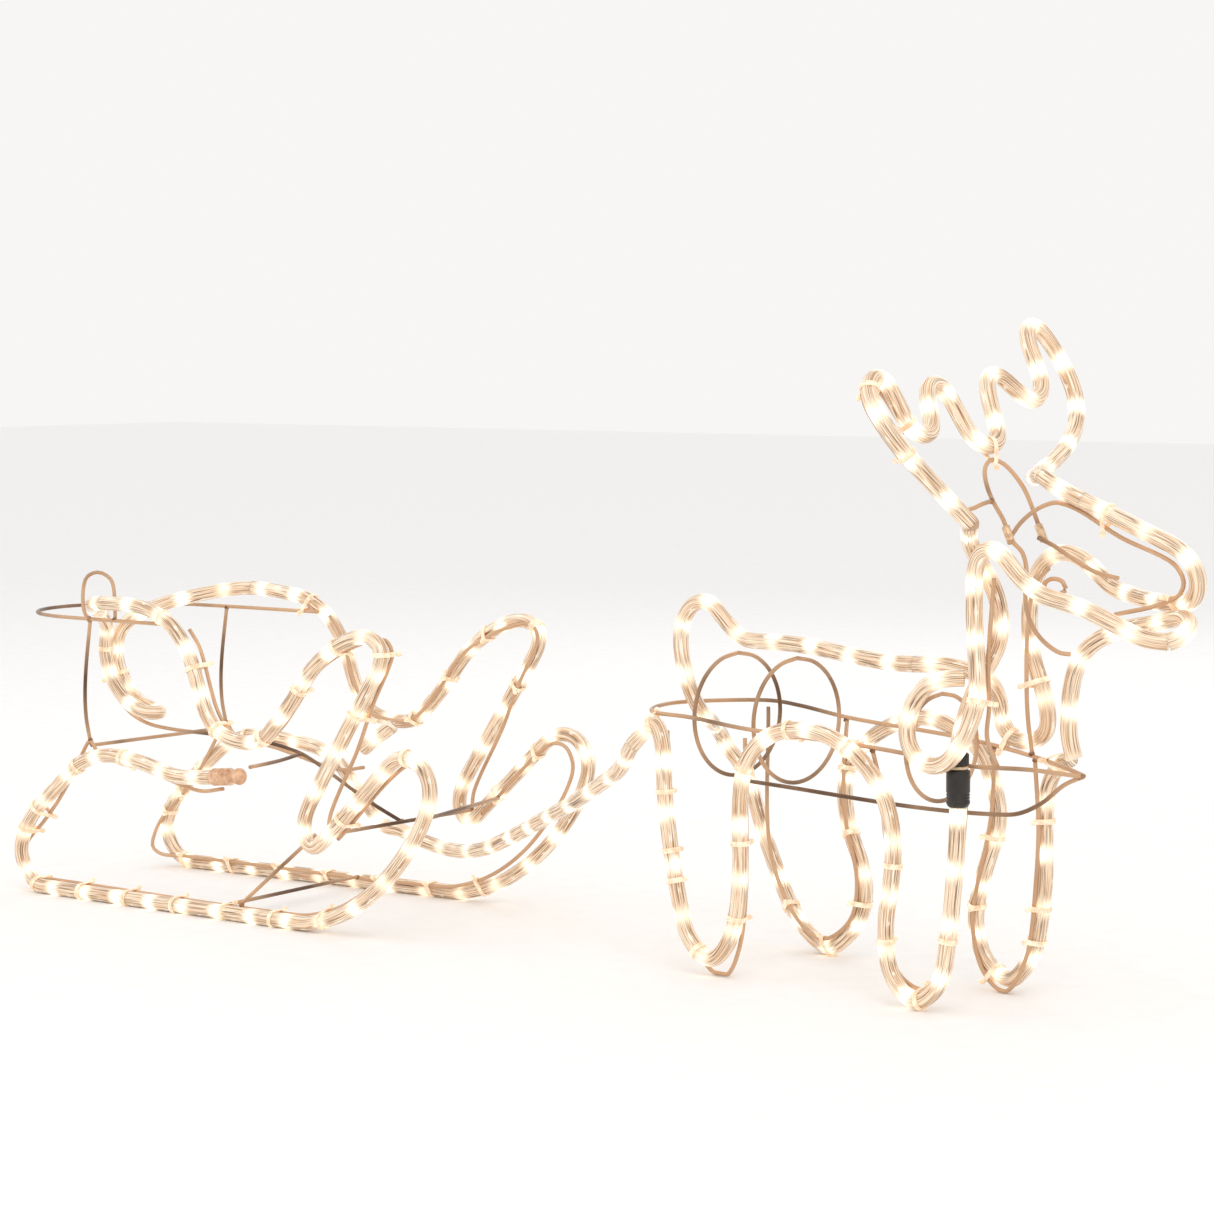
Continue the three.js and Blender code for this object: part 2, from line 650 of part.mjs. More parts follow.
/** The tubes on the head's frame that the antler prongs slide in. */
function antlerSockets() {
  const wall = new THREE.Shape();
  wall.absarc(0, 0, SOCKET_BORE + SOCKET_WALL, 0, 2 * Math.PI);
  const hole = new THREE.Path();
  hole.absarc(0, 0, SOCKET_BORE, 0, 2 * Math.PI);
  wall.holes.push(hole);
  const options = { depth: SOCKET_LENGTH, bevelEnabled: false, curveSegments: 12 };
  for (const [word, y] of [["near", SOCKET_NEAR], ["far", SOCKET_FAR]]) {
    const tube = new THREE.ExtrudeGeometry(wall, options);
    const socket = addMesh(word + "_antler_socket", tube, socketSteel());
    socket.quaternion.setFromUnitVectors(UP, antlerDirection());
    socket.position.copy(antler([y, 0])).addScaledVector(antlerDirection(), -SOCKET_LENGTH);
  }
}

// ---------------------------------------------------------------- the reindeer's wire frame

const LEG_WIRES = {
  near_rear: [
    [-57, 196], [-53, 140], [-40, 66], [-28, 22], [-8, 2], [6, 1], [19, 24], [26, 81], [25, 140],
    [24, 196],
  ],
  near_front: [
    [150, 195], [158, 168], [163, 130], [170, 100], [169, 57], [175, 26], [198, 14], [220, 26],
    [228, 65],
  ],
  far_rear: [
    [-72, 204], [-68, 78], [-36, 27], [-4, 14], [30, 36], [36, 70], [24, 110], [20, 150],
    [24, 201],
  ],
  far_front: [
    [190, 193], [188, 140], [176, 92], [168, 51], [180, 14], [204, 1], [226, 30], [236, 92],
    [238, 140],
  ],
};

// The front legs' last limb leans in to pass the connector and meet the rail. Points [x, y, z].
const LIMB_ENDS = {
  near_front: [[232, -38, 130], [233, -36.5, 160], [233, -37, 188.5]],
  far_front: [[238, 40, 165], [238, 38, 188]],
};

/** The body's rail: a long loop that closes at the chest. */
function railWire() {
  const edge = (x, z, side) => reindeer(x, side * (legHalfWidth(x) - BEHIND), z);
  const passing = CONNECTOR_DIAMETER / 2 + WIRE / 2 + 2; // the rail clears the connector
  const half = (side) => [
    reindeer(314, side * (WIRE / 2 + WELD), 184),
    reindeer(303, side * 8, 185),
    reindeer(278, side * 18, 187),
    reindeer(CONNECTOR_X, side * (legHalfWidth(CONNECTOR_X) - passing), 188),
    edge(185, 193, side),
    edge(100, 198, side),
    edge(24, 200, side),
    edge(-35, 205, side),
    edge(-70, 206, side),
  ];
  const rear = [reindeer(-99, -38, 206), reindeer(-112, 0, 206), reindeer(-99, 38, 206)];
  addWire("rail_wire", [...half(-1), ...rear, ...half(1).reverse()], UP, { start: 0, end: 0 });
}

/** A round hoop that stands across the body, between the spine wire and the keel. */
function hoopWire(name, x, radius, keelZ) {
  const points = [];
  const count = 18;
  for (let i = 0; i <= count; i += 1) {
    const angle = Math.PI / 2 + ((2 * Math.PI - 0.02) * i) / count + 0.01;
    points.push([x, radius * Math.cos(angle), keelZ + radius + radius * Math.sin(angle)]);
  }
  const forward = at(1, 0, 0).applyAxisAngle(UP, REINDEER_TURN);
  addWire(name, reindeerPoints(points), forward, { start: WELD, end: WELD });
}

function bodyFrame() {
  const across = at(0, 1, 0).applyAxisAngle(UP, REINDEER_TURN);
  railWire();
  const keelZ = 148;
  const keel = [
    [-42, keelZ], [0, keelZ], [60, keelZ], [201, keelZ], [250, 149], [276, 160], [298, 176],
    [316, 184],
  ];
  addWire("keel_wire", reindeerAt(0, keel), across, { start: 0, end: WELD_TRIM + WIRE / 2 });
  hoopWire("rear_hoop_wire", -42, 50, keelZ + CROSSING + WELD);
  hoopWire("middle_hoop_wire", 24, 50, keelZ + CROSSING + WELD);
  hoopWire("front_hoop_wire", 177, 41.5, keelZ + CROSSING + WELD);

  for (const [name, outline] of Object.entries(LEG_WIRES)) {
    const side = name.startsWith("near") ? -1 : 1;
    const points = legSide(side, outline, BEHIND);
    points.push(...reindeerPoints(LIMB_ENDS[name] ?? []));
    const ends = { start: 2 * WELD_TRIM, end: 2 * WELD_TRIM };
    addWire(name + "_leg_wire", points, legSideNormal(side), ends);
  }
}

function headFrame() {
  const across = at(0, 1, 0).applyAxisAngle(UP, REINDEER_TURN);
  const farNeck = [
    [235, 39, 188], [231, 38, 215], [229, 38, 246], [230, 38, 290], [236, 38, 320], [250, 37, 333],
  ];
  addWire("far_neck_wire", reindeerPoints(farNeck), across, { start: 2 * WELD_TRIM, end: 0 });
  // The near side's wire runs inside the shoulder ring's rope.
  const nearNeck = [
    [262, -34, 188], [262, BEHIND - 55.4, 212], [268, BEHIND - 60.4, 236],
    [264, BEHIND - 57.4, 262], [264, -43, 330],
  ];
  addWire("near_neck_wire", reindeerPoints(nearNeck), across, { end: 0 });

  // The muzzle's wire leaves the near socket, then follows the rope round the head's outline.
  const muzzle = reindeerPoints([
    [258, SOCKET_NEAR + BESIDE_SOCKET, 360], [263, -11, 371], [273, -4, 381],
  ]);
  const outline = [
    [288, 386], [305, 380], [327, 371], [355, 360], [381, 352], [398, 344], [405, 333], [401, 323],
    [387, 318], [373, 314], [360, 310], [344, 306],
  ];
  addWire("muzzle_wire", [...muzzle, ...reindeerAt(0, outline)], across, { start: 0, end: 0 });

  const brow = [
    [262, SOCKET_FAR - BESIDE_SOCKET, 358], [275, 12, 353], [290, 16, 344], [306, 24, 334],
    [322, 30, 330],
  ];
  addWire("brow_wire", reindeerPoints(brow), across, { start: 0, end: 0 });

  const cheek = [
    [268, SOCKET_NEAR - BESIDE_SOCKET, 357], [278, -28, 350], [287, -34, 340], [291, -38, 330],
  ];
  addWire("cheek_wire", reindeerPoints(cheek), across, { start: 0, end: 0 });

  const jaw = [
    [289, -37, 327], [287, -34, 312], [287, -26, 295], [291, -15, 282], [297, -6, 275],
    [302, -1, 274],
  ];
  addWire("jaw_wire", reindeerPoints(jaw), across, { start: 0, end: 0 });

  const eye = [];
  for (let i = 0; i <= 10; i += 1) {
    const angle = (1.85 * Math.PI * i) / 10;
    eye.push([311 + 10 * Math.cos(angle), -30, 326 + 6 * Math.sin(angle)]);
  }
  addWire("eye_wire", reindeerPoints(eye), across, { start: 0, end: 0 });
}

// ---------------------------------------------------------------- connector and clips

/** The joint between the near leg's rope and the neck's: a body, a seal and a ribbed nut. */
function connector() {
  const base = reindeer(CONNECTOR_X, -legHalfWidth(CONNECTOR_X), CONNECTOR_FOOT);
  const radius = CONNECTOR_DIAMETER / 2;
  const body = [
    [0, 0], [radius - 1.5, 0], [radius, 2.5], [radius, CONNECTOR_LENGTH - 1],
    [radius - 1, CONNECTOR_LENGTH], [0, CONNECTOR_LENGTH],
  ];
  addUpright("connector_body", body, base, GAP, 20, connectorPlastic());
  const sealFoot = CONNECTOR_LENGTH + 2 * GAP;
  const rim = SEAL_DIAMETER / 2 - 0.6;
  const bulge = [SEAL_DIAMETER / 2, SEAL_LENGTH / 2];
  const seal = [[0, 0], [rim, 0], bulge, [rim, SEAL_LENGTH], [0, SEAL_LENGTH]];
  addUpright("connector_seal", seal, base, sealFoot, 16, sealRubber());

  const ribs = 12;
  const outline = [];
  for (let i = 0; i < ribs * 2; i += 1) {
    const angle = (Math.PI * i) / ribs;
    const reach = NUT_DIAMETER / 2 - (i % 2) * 0.9;
    outline.push(new THREE.Vector2(Math.cos(angle), Math.sin(angle)).multiplyScalar(reach));
  }
  const options = { depth: NUT_LENGTH, bevelEnabled: false };
  const ribbed = new THREE.ExtrudeGeometry(new THREE.Shape(outline), options);
  const nut = addMesh("connector_nut", ribbed, connectorPlastic());
  nut.position.copy(base);
  nut.position.z += sealFoot + SEAL_LENGTH + GAP;
}

/** A round piece whose profile of [radius, height] stands upright over a place. */
function addUpright(name, profile, base, lift, segments, material) {
  const points = profile.map(([r, z]) => new THREE.Vector2(r, z));
  const mesh = addMesh(name, new THREE.LatheGeometry(points, segments), material);
  mesh.rotation.x = Math.PI / 2;
  mesh.position.copy(base);
  mesh.position.z += lift;
}

/** The straight links of a tube between its stations, each with its middle and direction. */
function links(name) {
  const stations = curves.get(name);
  return stations.slice(1).map(({ point }, i) => {
    const middle = point.clone().lerp(stations[i].point, 0.5);
    const direction = point.clone().sub(stations[i].point);
    return { from: stations[i].point, middle, direction, length: direction.length() };
  });
}

/** The middle of the link nearest a point, among those long enough to hold a clip. */
function clipPlace(name, point) {
  const long = links(name).filter((link) => link.length > 2 * CLIP_WIDTH);
  const best = long.reduce((a, b) => (b.middle.distanceTo(point) < a.middle.distanceTo(point) ? b : a));
  return { point: best.middle, tangent: best.direction.clone().normalize() };
}

/** Where a tube passes through the plane across another tube, nearest to it. */
function crossingPoint(name, { point, tangent }) {
  const found = [];
  for (const link of links(name)) {
    const share = point.clone().sub(link.from).dot(tangent) / link.direction.dot(tangent);
    if (share >= 0 && share <= 1) found.push(link.from.clone().addScaledVector(link.direction, share));
  }
  return found.reduce((a, b) => (b.distanceTo(point) < a.distanceTo(point) ? b : a));
}

/** A clip: one band round a rope and the wire that backs it, with a knob on the wire's side. */
function addClip(name, ropeName, wireName, point) {
  const rope = clipPlace(ropeName, point);
  const towards = crossingPoint(wireName, rope).sub(rope.point);
  const reach = towards.length();
  const side = towards.normalize();
  const clip = addMesh(name, clipBand(reach), clipPlastic());
  const basis = new THREE.Matrix4().makeBasis(side, rope.tangent.clone().cross(side), rope.tangent);
  clip.quaternion.setFromRotationMatrix(basis);
  clip.position.copy(rope.point).addScaledVector(rope.tangent, -CLIP_WIDTH / 2);
}

function clipBand(reach) {
  const ropeHole = ROPE / 2 + GAP;
  const wireHole = WIRE / 2 + 2 * GAP;
  const band = pearOutline(reach, ropeHole + CLIP_WALL, wireHole + CLIP_WALL, CLIP_KNOB);
  const shape = new THREE.Shape(band);
  shape.holes.push(new THREE.Path(pearOutline(reach, ropeHole, wireHole, 0)));
  return new THREE.ExtrudeGeometry(shape, { depth: CLIP_WIDTH, bevelEnabled: false });
}

/** The outline that wraps a large circle and a small one beside it, with a square knob if asked. */
function pearOutline(reach, large, small, knob) {
  const lean = Math.acos((large - small) / reach);
  const points = [];
  const arc = (x, radius, from, to, steps) => {
    for (let i = 0; i <= steps; i += 1) {
      const angle = from + ((to - from) * i) / steps;
      points.push(new THREE.Vector2(x + radius * Math.cos(angle), radius * Math.sin(angle)));
    }
  };
  arc(0, large, lean, 2 * Math.PI - lean, 12);
  if (knob > 0) {
    const half = small * 0.6;
    const foot = reach + small * 0.8; // where a chord this wide meets the small circle
    const end = reach + small + knob;
    for (const [x, y] of [[foot, -half], [end, -half], [end, half], [foot, half]]) {
      points.push(new THREE.Vector2(x, y));
    }
  } else {
    arc(reach, small, -lean, lean, 4);
  }
  return points;
}

function clips() {
  addClip("near_runner_clip", "near_runner_rope", "near_runner_wire", sleighSide(-1, [[30, 75]])[0]);
  addClip("far_runner_clip", "far_runner_rope", "far_runner_wire", sleighSide(1, [[30, 75]])[0]);
  addClip("near_leg_clip", "near_leg_rope", "near_rear_leg_wire", legSide(-1, [[-46, 108]])[0]);
  addClip("far_leg_clip", "far_leg_rope", "far_front_leg_wire", legSide(1, [[236, 80]])[0]);
}

// ---------------------------------------------------------------- assembly

sleighRopes();
sleighSideWires();
sleighFrame();
endCap();
bodyRopes();
faceRopes();
antlerFrame();
antlerSockets();
bodyFrame();
headFrame();
connector();
clips();

const box = new THREE.Box3().setFromObject(model, true);
const centre = box.getCenter(at(0, 0, 0));
model.position.set(-centre.x, -centre.y, -box.min.z);

const root = new THREE.Group();
root.add(model);

export default root;
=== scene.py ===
"""A light-up yard reindeer that pulls a sleigh: rope light clipped to a frame of bent wire.

Each CAD tube is read back as a centre line, and a round rope or wire that follows it takes its place.
Metres, +Z up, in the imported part's frame."""

import json
import math
import random

import bmesh
import bpy
from mathutils import Matrix, Vector, kdtree

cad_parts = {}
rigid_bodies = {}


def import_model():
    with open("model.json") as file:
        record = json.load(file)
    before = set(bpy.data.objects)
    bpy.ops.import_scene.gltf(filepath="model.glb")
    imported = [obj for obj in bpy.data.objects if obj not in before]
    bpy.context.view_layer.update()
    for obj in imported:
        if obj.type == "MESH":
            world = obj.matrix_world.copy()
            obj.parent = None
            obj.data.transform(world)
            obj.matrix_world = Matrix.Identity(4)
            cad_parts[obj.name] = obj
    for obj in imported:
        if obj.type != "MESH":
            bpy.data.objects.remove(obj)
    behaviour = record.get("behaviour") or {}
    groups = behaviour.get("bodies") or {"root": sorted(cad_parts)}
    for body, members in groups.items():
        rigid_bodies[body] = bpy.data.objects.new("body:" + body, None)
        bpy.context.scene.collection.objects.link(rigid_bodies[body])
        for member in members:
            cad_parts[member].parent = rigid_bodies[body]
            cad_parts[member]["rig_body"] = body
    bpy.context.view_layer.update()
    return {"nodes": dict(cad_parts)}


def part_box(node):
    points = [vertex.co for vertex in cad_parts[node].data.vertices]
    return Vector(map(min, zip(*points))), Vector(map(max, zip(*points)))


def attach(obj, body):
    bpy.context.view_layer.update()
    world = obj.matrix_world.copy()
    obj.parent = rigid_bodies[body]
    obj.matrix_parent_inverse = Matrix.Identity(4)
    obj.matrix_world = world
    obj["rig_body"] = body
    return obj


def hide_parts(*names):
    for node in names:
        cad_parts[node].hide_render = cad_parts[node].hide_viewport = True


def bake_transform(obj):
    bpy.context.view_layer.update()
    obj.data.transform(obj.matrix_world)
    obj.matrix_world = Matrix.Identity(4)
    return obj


UP = Vector((0, 0, 1))

# The CAD tubes' sections, as corners and the radius of the circle through them.
ROPE_SIDES = 8
ROPE_CORNER = 0.0065
WIRE_SIDES = 6
WIRE_CORNER = 0.0016

# Rope light.
ROPE_RADIUS = 0.0065
ROPE_SEGMENTS = 28
ROPE_STEP = 0.003  # between the rings of a swept tube
ROPE_ROUNDING = 0.002  # how far a free end is rounded
STRAIGHT = 3.0  # a link this many times its neighbour's length is a straight
EASING = 8  # rounds of smoothing that take a rope's corners off
LED_PITCH = 0.0417
LED_REACH = 0.0105  # half the length that one LED washes out
CHIP_REACH = 0.0028
FLEX = 0.045  # the stretch of rope by each antler foot, made as a piece of its own; the real rope gives there when the antlers lift

# Frame wire.
WIRE_RADIUS = 0.0017
WIRE_SEGMENTS = 12
WIRE_STEP = 0.004
WIRE_REACH = 0.0007  # how far a wire's end goes on into its weld
WELD_REACH = 0.006  # a wire's end is welded to any wire this close
WELD_RADIUS = 0.0024

# Clips, which hold the rope to a wire that runs beside it.
CLIP_WIDTH = 0.0042
CLIP_WALL = 0.0011
CLIP_SPACING = 0.058
CLIP_NEAREST = 0.0065  # between the centres of rope and wire
CLIP_FARTHEST = 0.0112
CLIP_KNOB = 0.0055
CLIP_APART = 0.024  # no two clips are closer than this
CLIP_ALONG = 0.88  # the least cosine between a wire's run and the rope's that a clip can hold
CAD_CLIP_SEARCH = 0.02  # from a CAD clip's centre to the rope's points tried for it
CAD_CLIP_FARTHEST = 0.018
JOIN_GAP = 0.00015  # each of two ropes that meet end to end is carried on by this much

# Fittings, from the CAD.
CAP_LENGTH = 0.038
CAP_RADIUS = 0.0077
ANTLER_LEAN = math.radians(26)
REINDEER_TURN = math.radians(-9.5)

# The lead's route in the sleigh's own frame, from the far runner to the near rear leg.
LEAD_START = Vector((0.215, 0.101, 0.121))
LEAD_ROUTE = [
    (0.280, 0.1027, 0.060),
    (0.298, 0.104, 0.057),
    (0.333, 0.103, 0.048),
    (0.376, 0.093, 0.046),
    (0.415, 0.080, 0.053),
    (0.460, 0.060, 0.069),
    (0.520, 0.030, 0.093),
    (0.580, 0.000, 0.118),
    (0.620, -0.020, 0.137),
    (0.656, -0.040, 0.155),
    (0.686, -0.062, 0.180),
]
LEAD_BEFORE = (0.170, 0.0998, 0.130)  # the rope's own points before and after the lead
LEAD_AFTER = (0.7011, -0.0636, 0.193)

# Each rope's runs in the order they follow one another.
CHAINS = [
    [
        "near_runner_rope",
        "near_dash_rope",
        "back_scroll_rope",
        "far_dash_rope",
        "far_runner_rope",
        "lead_cord",
        "near_leg_rope",
    ],
    ["seat_tail_rope"],
    ["far_leg_rope", "spine_rope", "far_neck_rope", "head_rope", "antler_rope", "neck_feed_rope"],
    ["shoulder_ring_rope", "near_jaw_rope", "throat_rope"],
]

# The camera looks across the reindeer's near side from a little in front of it.
CAMERA_PLACE = Vector((1.7660, -2.2943, 0.5133))
CAMERA_TARGET = Vector((0.0252, 0.0234, 0.2836))
CAMERA_LENS = 103.46
SENSOR_WIDTH = 36.0

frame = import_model()
NODES = frame["nodes"]


# ------------------------------------------------------------------ camera


def add_camera():
    data = bpy.data.cameras.new("camera")
    data.lens = CAMERA_LENS
    data.sensor_width = SENSOR_WIDTH
    camera = bpy.data.objects.new("camera", data)
    camera.location = CAMERA_PLACE
    camera.rotation_euler = (CAMERA_TARGET - CAMERA_PLACE).to_track_quat("-Z", "Y").to_euler()
    bpy.context.scene.collection.objects.link(camera)
    bpy.context.scene.camera = camera


# ------------------------------------------------------------------ node graphs


class Graph:
    """A material's nodes, with a short call for each kind used here."""

    def __init__(self, name):
        self.material = bpy.data.materials.new(name)
        self.material.use_nodes = True
        self.tree = self.material.node_tree
        self.shader = self.tree.nodes["Principled BSDF"]

    def node(self, kind, **settings):
        made = self.tree.nodes.new("ShaderNode" + kind)
        for key, value in settings.items():
            setattr(made, key, value)
        return made

    def feed(self, socket, value):
        if isinstance(value, bpy.types.NodeSocket):
            self.tree.links.new(value, socket)
        else:
            socket.default_value = value

    def math(self, operation, *values):
        made = self.node("Math", operation=operation)
        for socket, value in zip(made.inputs, values):
            self.feed(socket, value)
        return made.outputs[0]

    def noise(self, vector, scale, detail=2.0, roughness=0.5):
        made = self.node("TexNoise")
        self.feed(made.inputs["Vector"], vector)
        made.inputs["Scale"].default_value = scale
        made.inputs["Detail"].default_value = detail
        made.inputs["Roughness"].default_value = roughness
        return made.outputs["Fac"]

    def ramp(self, value, stops):
        made = self.node("ValToRGB")
        self.feed(made.inputs["Fac"], value)
        elements = made.color_ramp.elements
        elements[0].position, elements[0].color = stops[0]
        elements[1].position, elements[1].color = stops[-1]
        for position, color in stops[1:-1]:
            elements.new(position).color = color
        return made.outputs["Color"]

    def span(self, value, low, high, start=0.0, end=1.0):
        """value's place between low and high, eased, as a number between start and end."""
        made = self.node("MapRange", interpolation_type="SMOOTHSTEP")
        for socket, number in zip(made.inputs, (value, low, high, start, end)):
            self.feed(socket, number)
        return made.outputs["Result"]

    def mix(self, share, a, b):
        made = self.node("Mix", data_type="RGBA")
        self.feed(made.inputs["Factor"], share)
        self.feed(made.inputs[6], a)
        self.feed(made.inputs[7], b)
        return made.outputs[2]

    def bump(self, height, strength, distance):
        made = self.node("Bump")
        made.inputs["Strength"].default_value = strength
        made.inputs["Distance"].default_value = distance
        self.feed(made.inputs["Height"], height)
        self.feed(self.shader.inputs["Normal"], made.outputs["Normal"])

    def set(self, **values):
        for key, value in values.items():
            self.feed(self.shader.inputs[key.replace("_", " ")], value)

    def object_place(self):
        return self.node("TexCoord").outputs["Object"]


def rgb(red, green, blue):
    return (red, green, blue, 1.0)


# ------------------------------------------------------------------ materials


def rope_light():
    """Clear PVC with strands inside it, washed out round each LED."""
    g = Graph("rope_light")
    uv = g.node("SeparateXYZ")
    g.feed(uv.inputs[0], g.node("TexCoord").outputs["UV"])
    turn = g.math("MULTIPLY", uv.outputs["X"], 2 * math.pi)
    along = uv.outputs["Y"]

    # Coordinates on a cylinder that is short around and long along, so the noise runs in strands.
    def strands(around, stretch, scale, detail):
        place = g.node("CombineXYZ")
        g.feed(place.inputs[0], g.math("MULTIPLY", g.math("COSINE", turn), around))
        g.feed(place.inputs[1], g.math("MULTIPLY", g.math("SINE", turn), around))
        g.feed(place.inputs[2], g.math("MULTIPLY", along, stretch))
        return g.noise(place.outputs[0], scale, detail)

    broad = strands(2.2, 26.0, 1.0, 2.0)
    fine = strands(6.5, 17.0, 1.0, 3.0)
    hair = strands(13.0, 30.0, 1.0, 1.0)
    colour = g.ramp(
        fine,
        [
            (0.34, rgb(0.105, 0.044, 0.020)),
            (0.41, rgb(0.46, 0.23, 0.105)),
            (0.48, rgb(0.86, 0.57, 0.34)),
            (0.56, rgb(1.0, 0.88, 0.70)),
        ],
    )
    tint = g.ramp(broad, [(0.35, rgb(0.66, 0.38, 0.20)), (0.62, rgb(1.0, 0.82, 0.60))])
    colour = g.mix(0.35, colour, tint)
    lines = g.span(hair, 0.42, 0.34)
    colour = g.mix(g.math("MULTIPLY", lines, 0.85), colour, rgb(0.07, 0.032, 0.016))

    # How far along the pitch, from the nearest LED, and how much of its wash reaches here.
    ragged = g.math("MULTIPLY", g.math("SUBTRACT", fine, 0.5), 0.022)
    share = g.math("FRACT", g.math("DIVIDE", along, LED_PITCH))
    away = g.math("MULTIPLY", g.math("ABSOLUTE", g.math("SUBTRACT", share, 0.5)), LED_PITCH)
    away = g.math("ADD", away, ragged)
    # Some LEDs are brighter than others, and each washes out some strands further than others.
    bright = g.span(strands(0.6, 19.0, 1.0, 1.0), 0.35, 0.65, 0.55, 1.15)
    wash = g.math("MULTIPLY", g.span(away, LED_REACH, LED_REACH * 0.3), bright)
    core = g.math("MULTIPLY", g.span(away, LED_REACH * 0.55, 0.0), bright)

    # A reflector chip shows as a pale rectangle half way between two LEDs.
    from_chip = g.math("SUBTRACT", LED_PITCH / 2, away)
    side = g.math("ABSOLUTE", g.math("COSINE", turn))
    chip = g.math("MULTIPLY", g.math("LESS_THAN", from_chip, CHIP_REACH), g.math("LESS_THAN", side, 0.22))
    colour = g.mix(g.math("MULTIPLY", chip, 0.75), colour, rgb(1.0, 0.93, 0.80))
    colour = g.mix(g.math("MULTIPLY", wash, 0.88), colour, rgb(1.0, 0.88, 0.68))

    light = g.math("ADD", g.math("MULTIPLY", wash, 0.30), g.math("MULTIPLY", core, 1.0))
    light = g.math("ADD", light, 0.05)
    g.set(Base_Color=colour, Emission_Color=colour, Emission_Strength=light, Roughness=0.22)
    g.set(IOR=1.53, Coat_Weight=0.6, Coat_Roughness=0.08)
    g.bump(fine, 0.25, 0.0004)
    return g.material


def frame_wire():
    """Painted steel rod, with the rope's light and shade painted on: warm near a rope, painted shade in brown
    and near black further away.
    """
    g = Graph("frame_wire")
    place = g.object_place()
    glow = g.node("Attribute", attribute_name="glow").outputs["Fac"]
    drawn = g.noise(place, 260.0, 3.0)
    patches = g.noise(place, 22.0, 3.0)
    # Light and shade are painted here: a warm lit copy of the paint and a near-black painted-shade copy,
    # mixed by how near each point is to a rope.
    lit_paint = g.mix(patches, rgb(0.50, 0.29, 0.16), rgb(0.76, 0.50, 0.31))
    shaded = g.mix(drawn, rgb(0.030, 0.013, 0.005), rgb(0.16, 0.075, 0.03))
    # The mask for the painted light: each point's nearness to a rope, made patchy by the paint's patches.
    glow_and_patches = g.math("ADD", glow, g.math("MULTIPLY", g.math("SUBTRACT", patches, 0.5), 0.5))
    colour = g.mix(g.span(glow_and_patches, 0.2, 0.9), shaded, lit_paint)
    g.set(Base_Color=colour, Metallic=0.25)
    g.set(Roughness=g.span(drawn, 0.2, 0.8, 0.28, 0.5))
    g.bump(drawn, 0.3, 0.0002)
    return g.material


def weld_metal():
    """The bead's burnt and spattered steel."""
    g = Graph("weld_bead")
    place = g.object_place()
    pits = g.noise(place, 900.0, 3.0)
    burn = g.noise(place, 160.0, 2.0)
    colour = g.ramp(burn, [(0.35, rgb(0.16, 0.07, 0.03)), (0.65, rgb(0.56, 0.31, 0.15))])
    g.set(Base_Color=colour, Metallic=0.35)
    g.set(Roughness=g.span(pits, 0.3, 0.7, 0.35, 0.65))
    g.bump(pits, 0.5, 0.0003)
    return g.material


def clip_plastic():
    """Milky plastic, with a painted glow as if the rope's light warmed it from inside."""
    g = Graph("clip_plastic")
    place = g.object_place()
    cloud_and_glow = g.noise(place, 180.0, 3.0)
    grain = g.noise(place, 1500.0, 2.0)
    colour = g.ramp(cloud_and_glow, [(0.3, rgb(0.90, 0.64, 0.42)), (0.7, rgb(1.0, 0.88, 0.70))])
    # A painted glow: the clip emits a little light of its own colour, patchy with the milky cloud.
    g.set(Base_Color=colour, Emission_Color=colour, Emission_Strength=g.span(cloud_and_glow, 0.3, 0.7, 0.08, 0.25))
    g.set(Roughness=g.span(grain, 0.3, 0.7, 0.3, 0.45), Subsurface_Weight=0.3, Subsurface_Scale=0.002)
    g.bump(grain, 0.15, 0.0002)
    return g.material


def cap_plastic():
    """The end cap's amber plastic, with a dull painted glow as if lit from inside."""
    g = Graph("cap_plastic")
    place = g.object_place()
    swirl = g.noise(place, 110.0, 4.0, 0.6)
    grain = g.noise(place, 1200.0, 2.0)
    colour = g.ramp(swirl, [(0.32, rgb(0.44, 0.21, 0.10)), (0.68, rgb(0.80, 0.52, 0.33))])
    # A painted dull glow: the cap emits a little light of its own colour.
    g.set(Base_Color=colour, Emission_Color=colour, Emission_Strength=0.16)
    g.set(Roughness=g.span(grain, 0.3, 0.7, 0.25, 0.45), Coat_Weight=0.3)
    g.bump(swirl, 0.3, 0.0004)
    return g.material


def connector_plastic():
    """Black moulded plastic with a fine spark grain and rubbed patches."""
    g = Graph("connector_plastic")
    place = g.object_place()
    grain = g.noise(place, 1800.0, 3.0)
    rubbed = g.noise(place, 90.0, 3.0)
    colour = g.ramp(rubbed, [(0.35, rgb(0.008, 0.006, 0.005)), (0.75, rgb(0.035, 0.026, 0.02))])
    g.set(Base_Color=colour, Roughness=g.span(rubbed, 0.3, 0.7, 0.3, 0.55))
    g.bump(grain, 0.35, 0.0002)
    return g.material


def seal_rubber():
    """Beige rubber with a dusty bloom."""
    g = Graph("seal_rubber")
    place = g.object_place()
    bloom = g.noise(place, 300.0, 4.0)
    colour = g.ramp(bloom, [(0.3, rgb(0.55, 0.38, 0.22)), (0.7, rgb(0.80, 0.62, 0.42))])
    g.set(Base_Color=colour, Roughness=g.span(bloom, 0.3, 0.7, 0.5, 0.75))
    g.bump(bloom, 0.2, 0.0003)
    return g.material


def socket_steel():
    """The antler sockets' coated steel tube, scuffed where the prongs go in."""
    g = Graph("socket_steel")
    place = g.object_place()
    brushed = g.noise(place, 700.0, 3.0)
    scuffs = g.noise(place, 210.0, 4.0, 0.7)
    colour = g.ramp(scuffs, [(0.4, rgb(0.82, 0.60, 0.39)), (0.66, rgb(0.46, 0.30, 0.18))])
    g.set(Base_Color=colour, Metallic=0.5, Roughness=g.span(brushed, 0.3, 0.7, 0.3, 0.5))
    g.bump(brushed, 0.25, 0.0002)
    return g.material


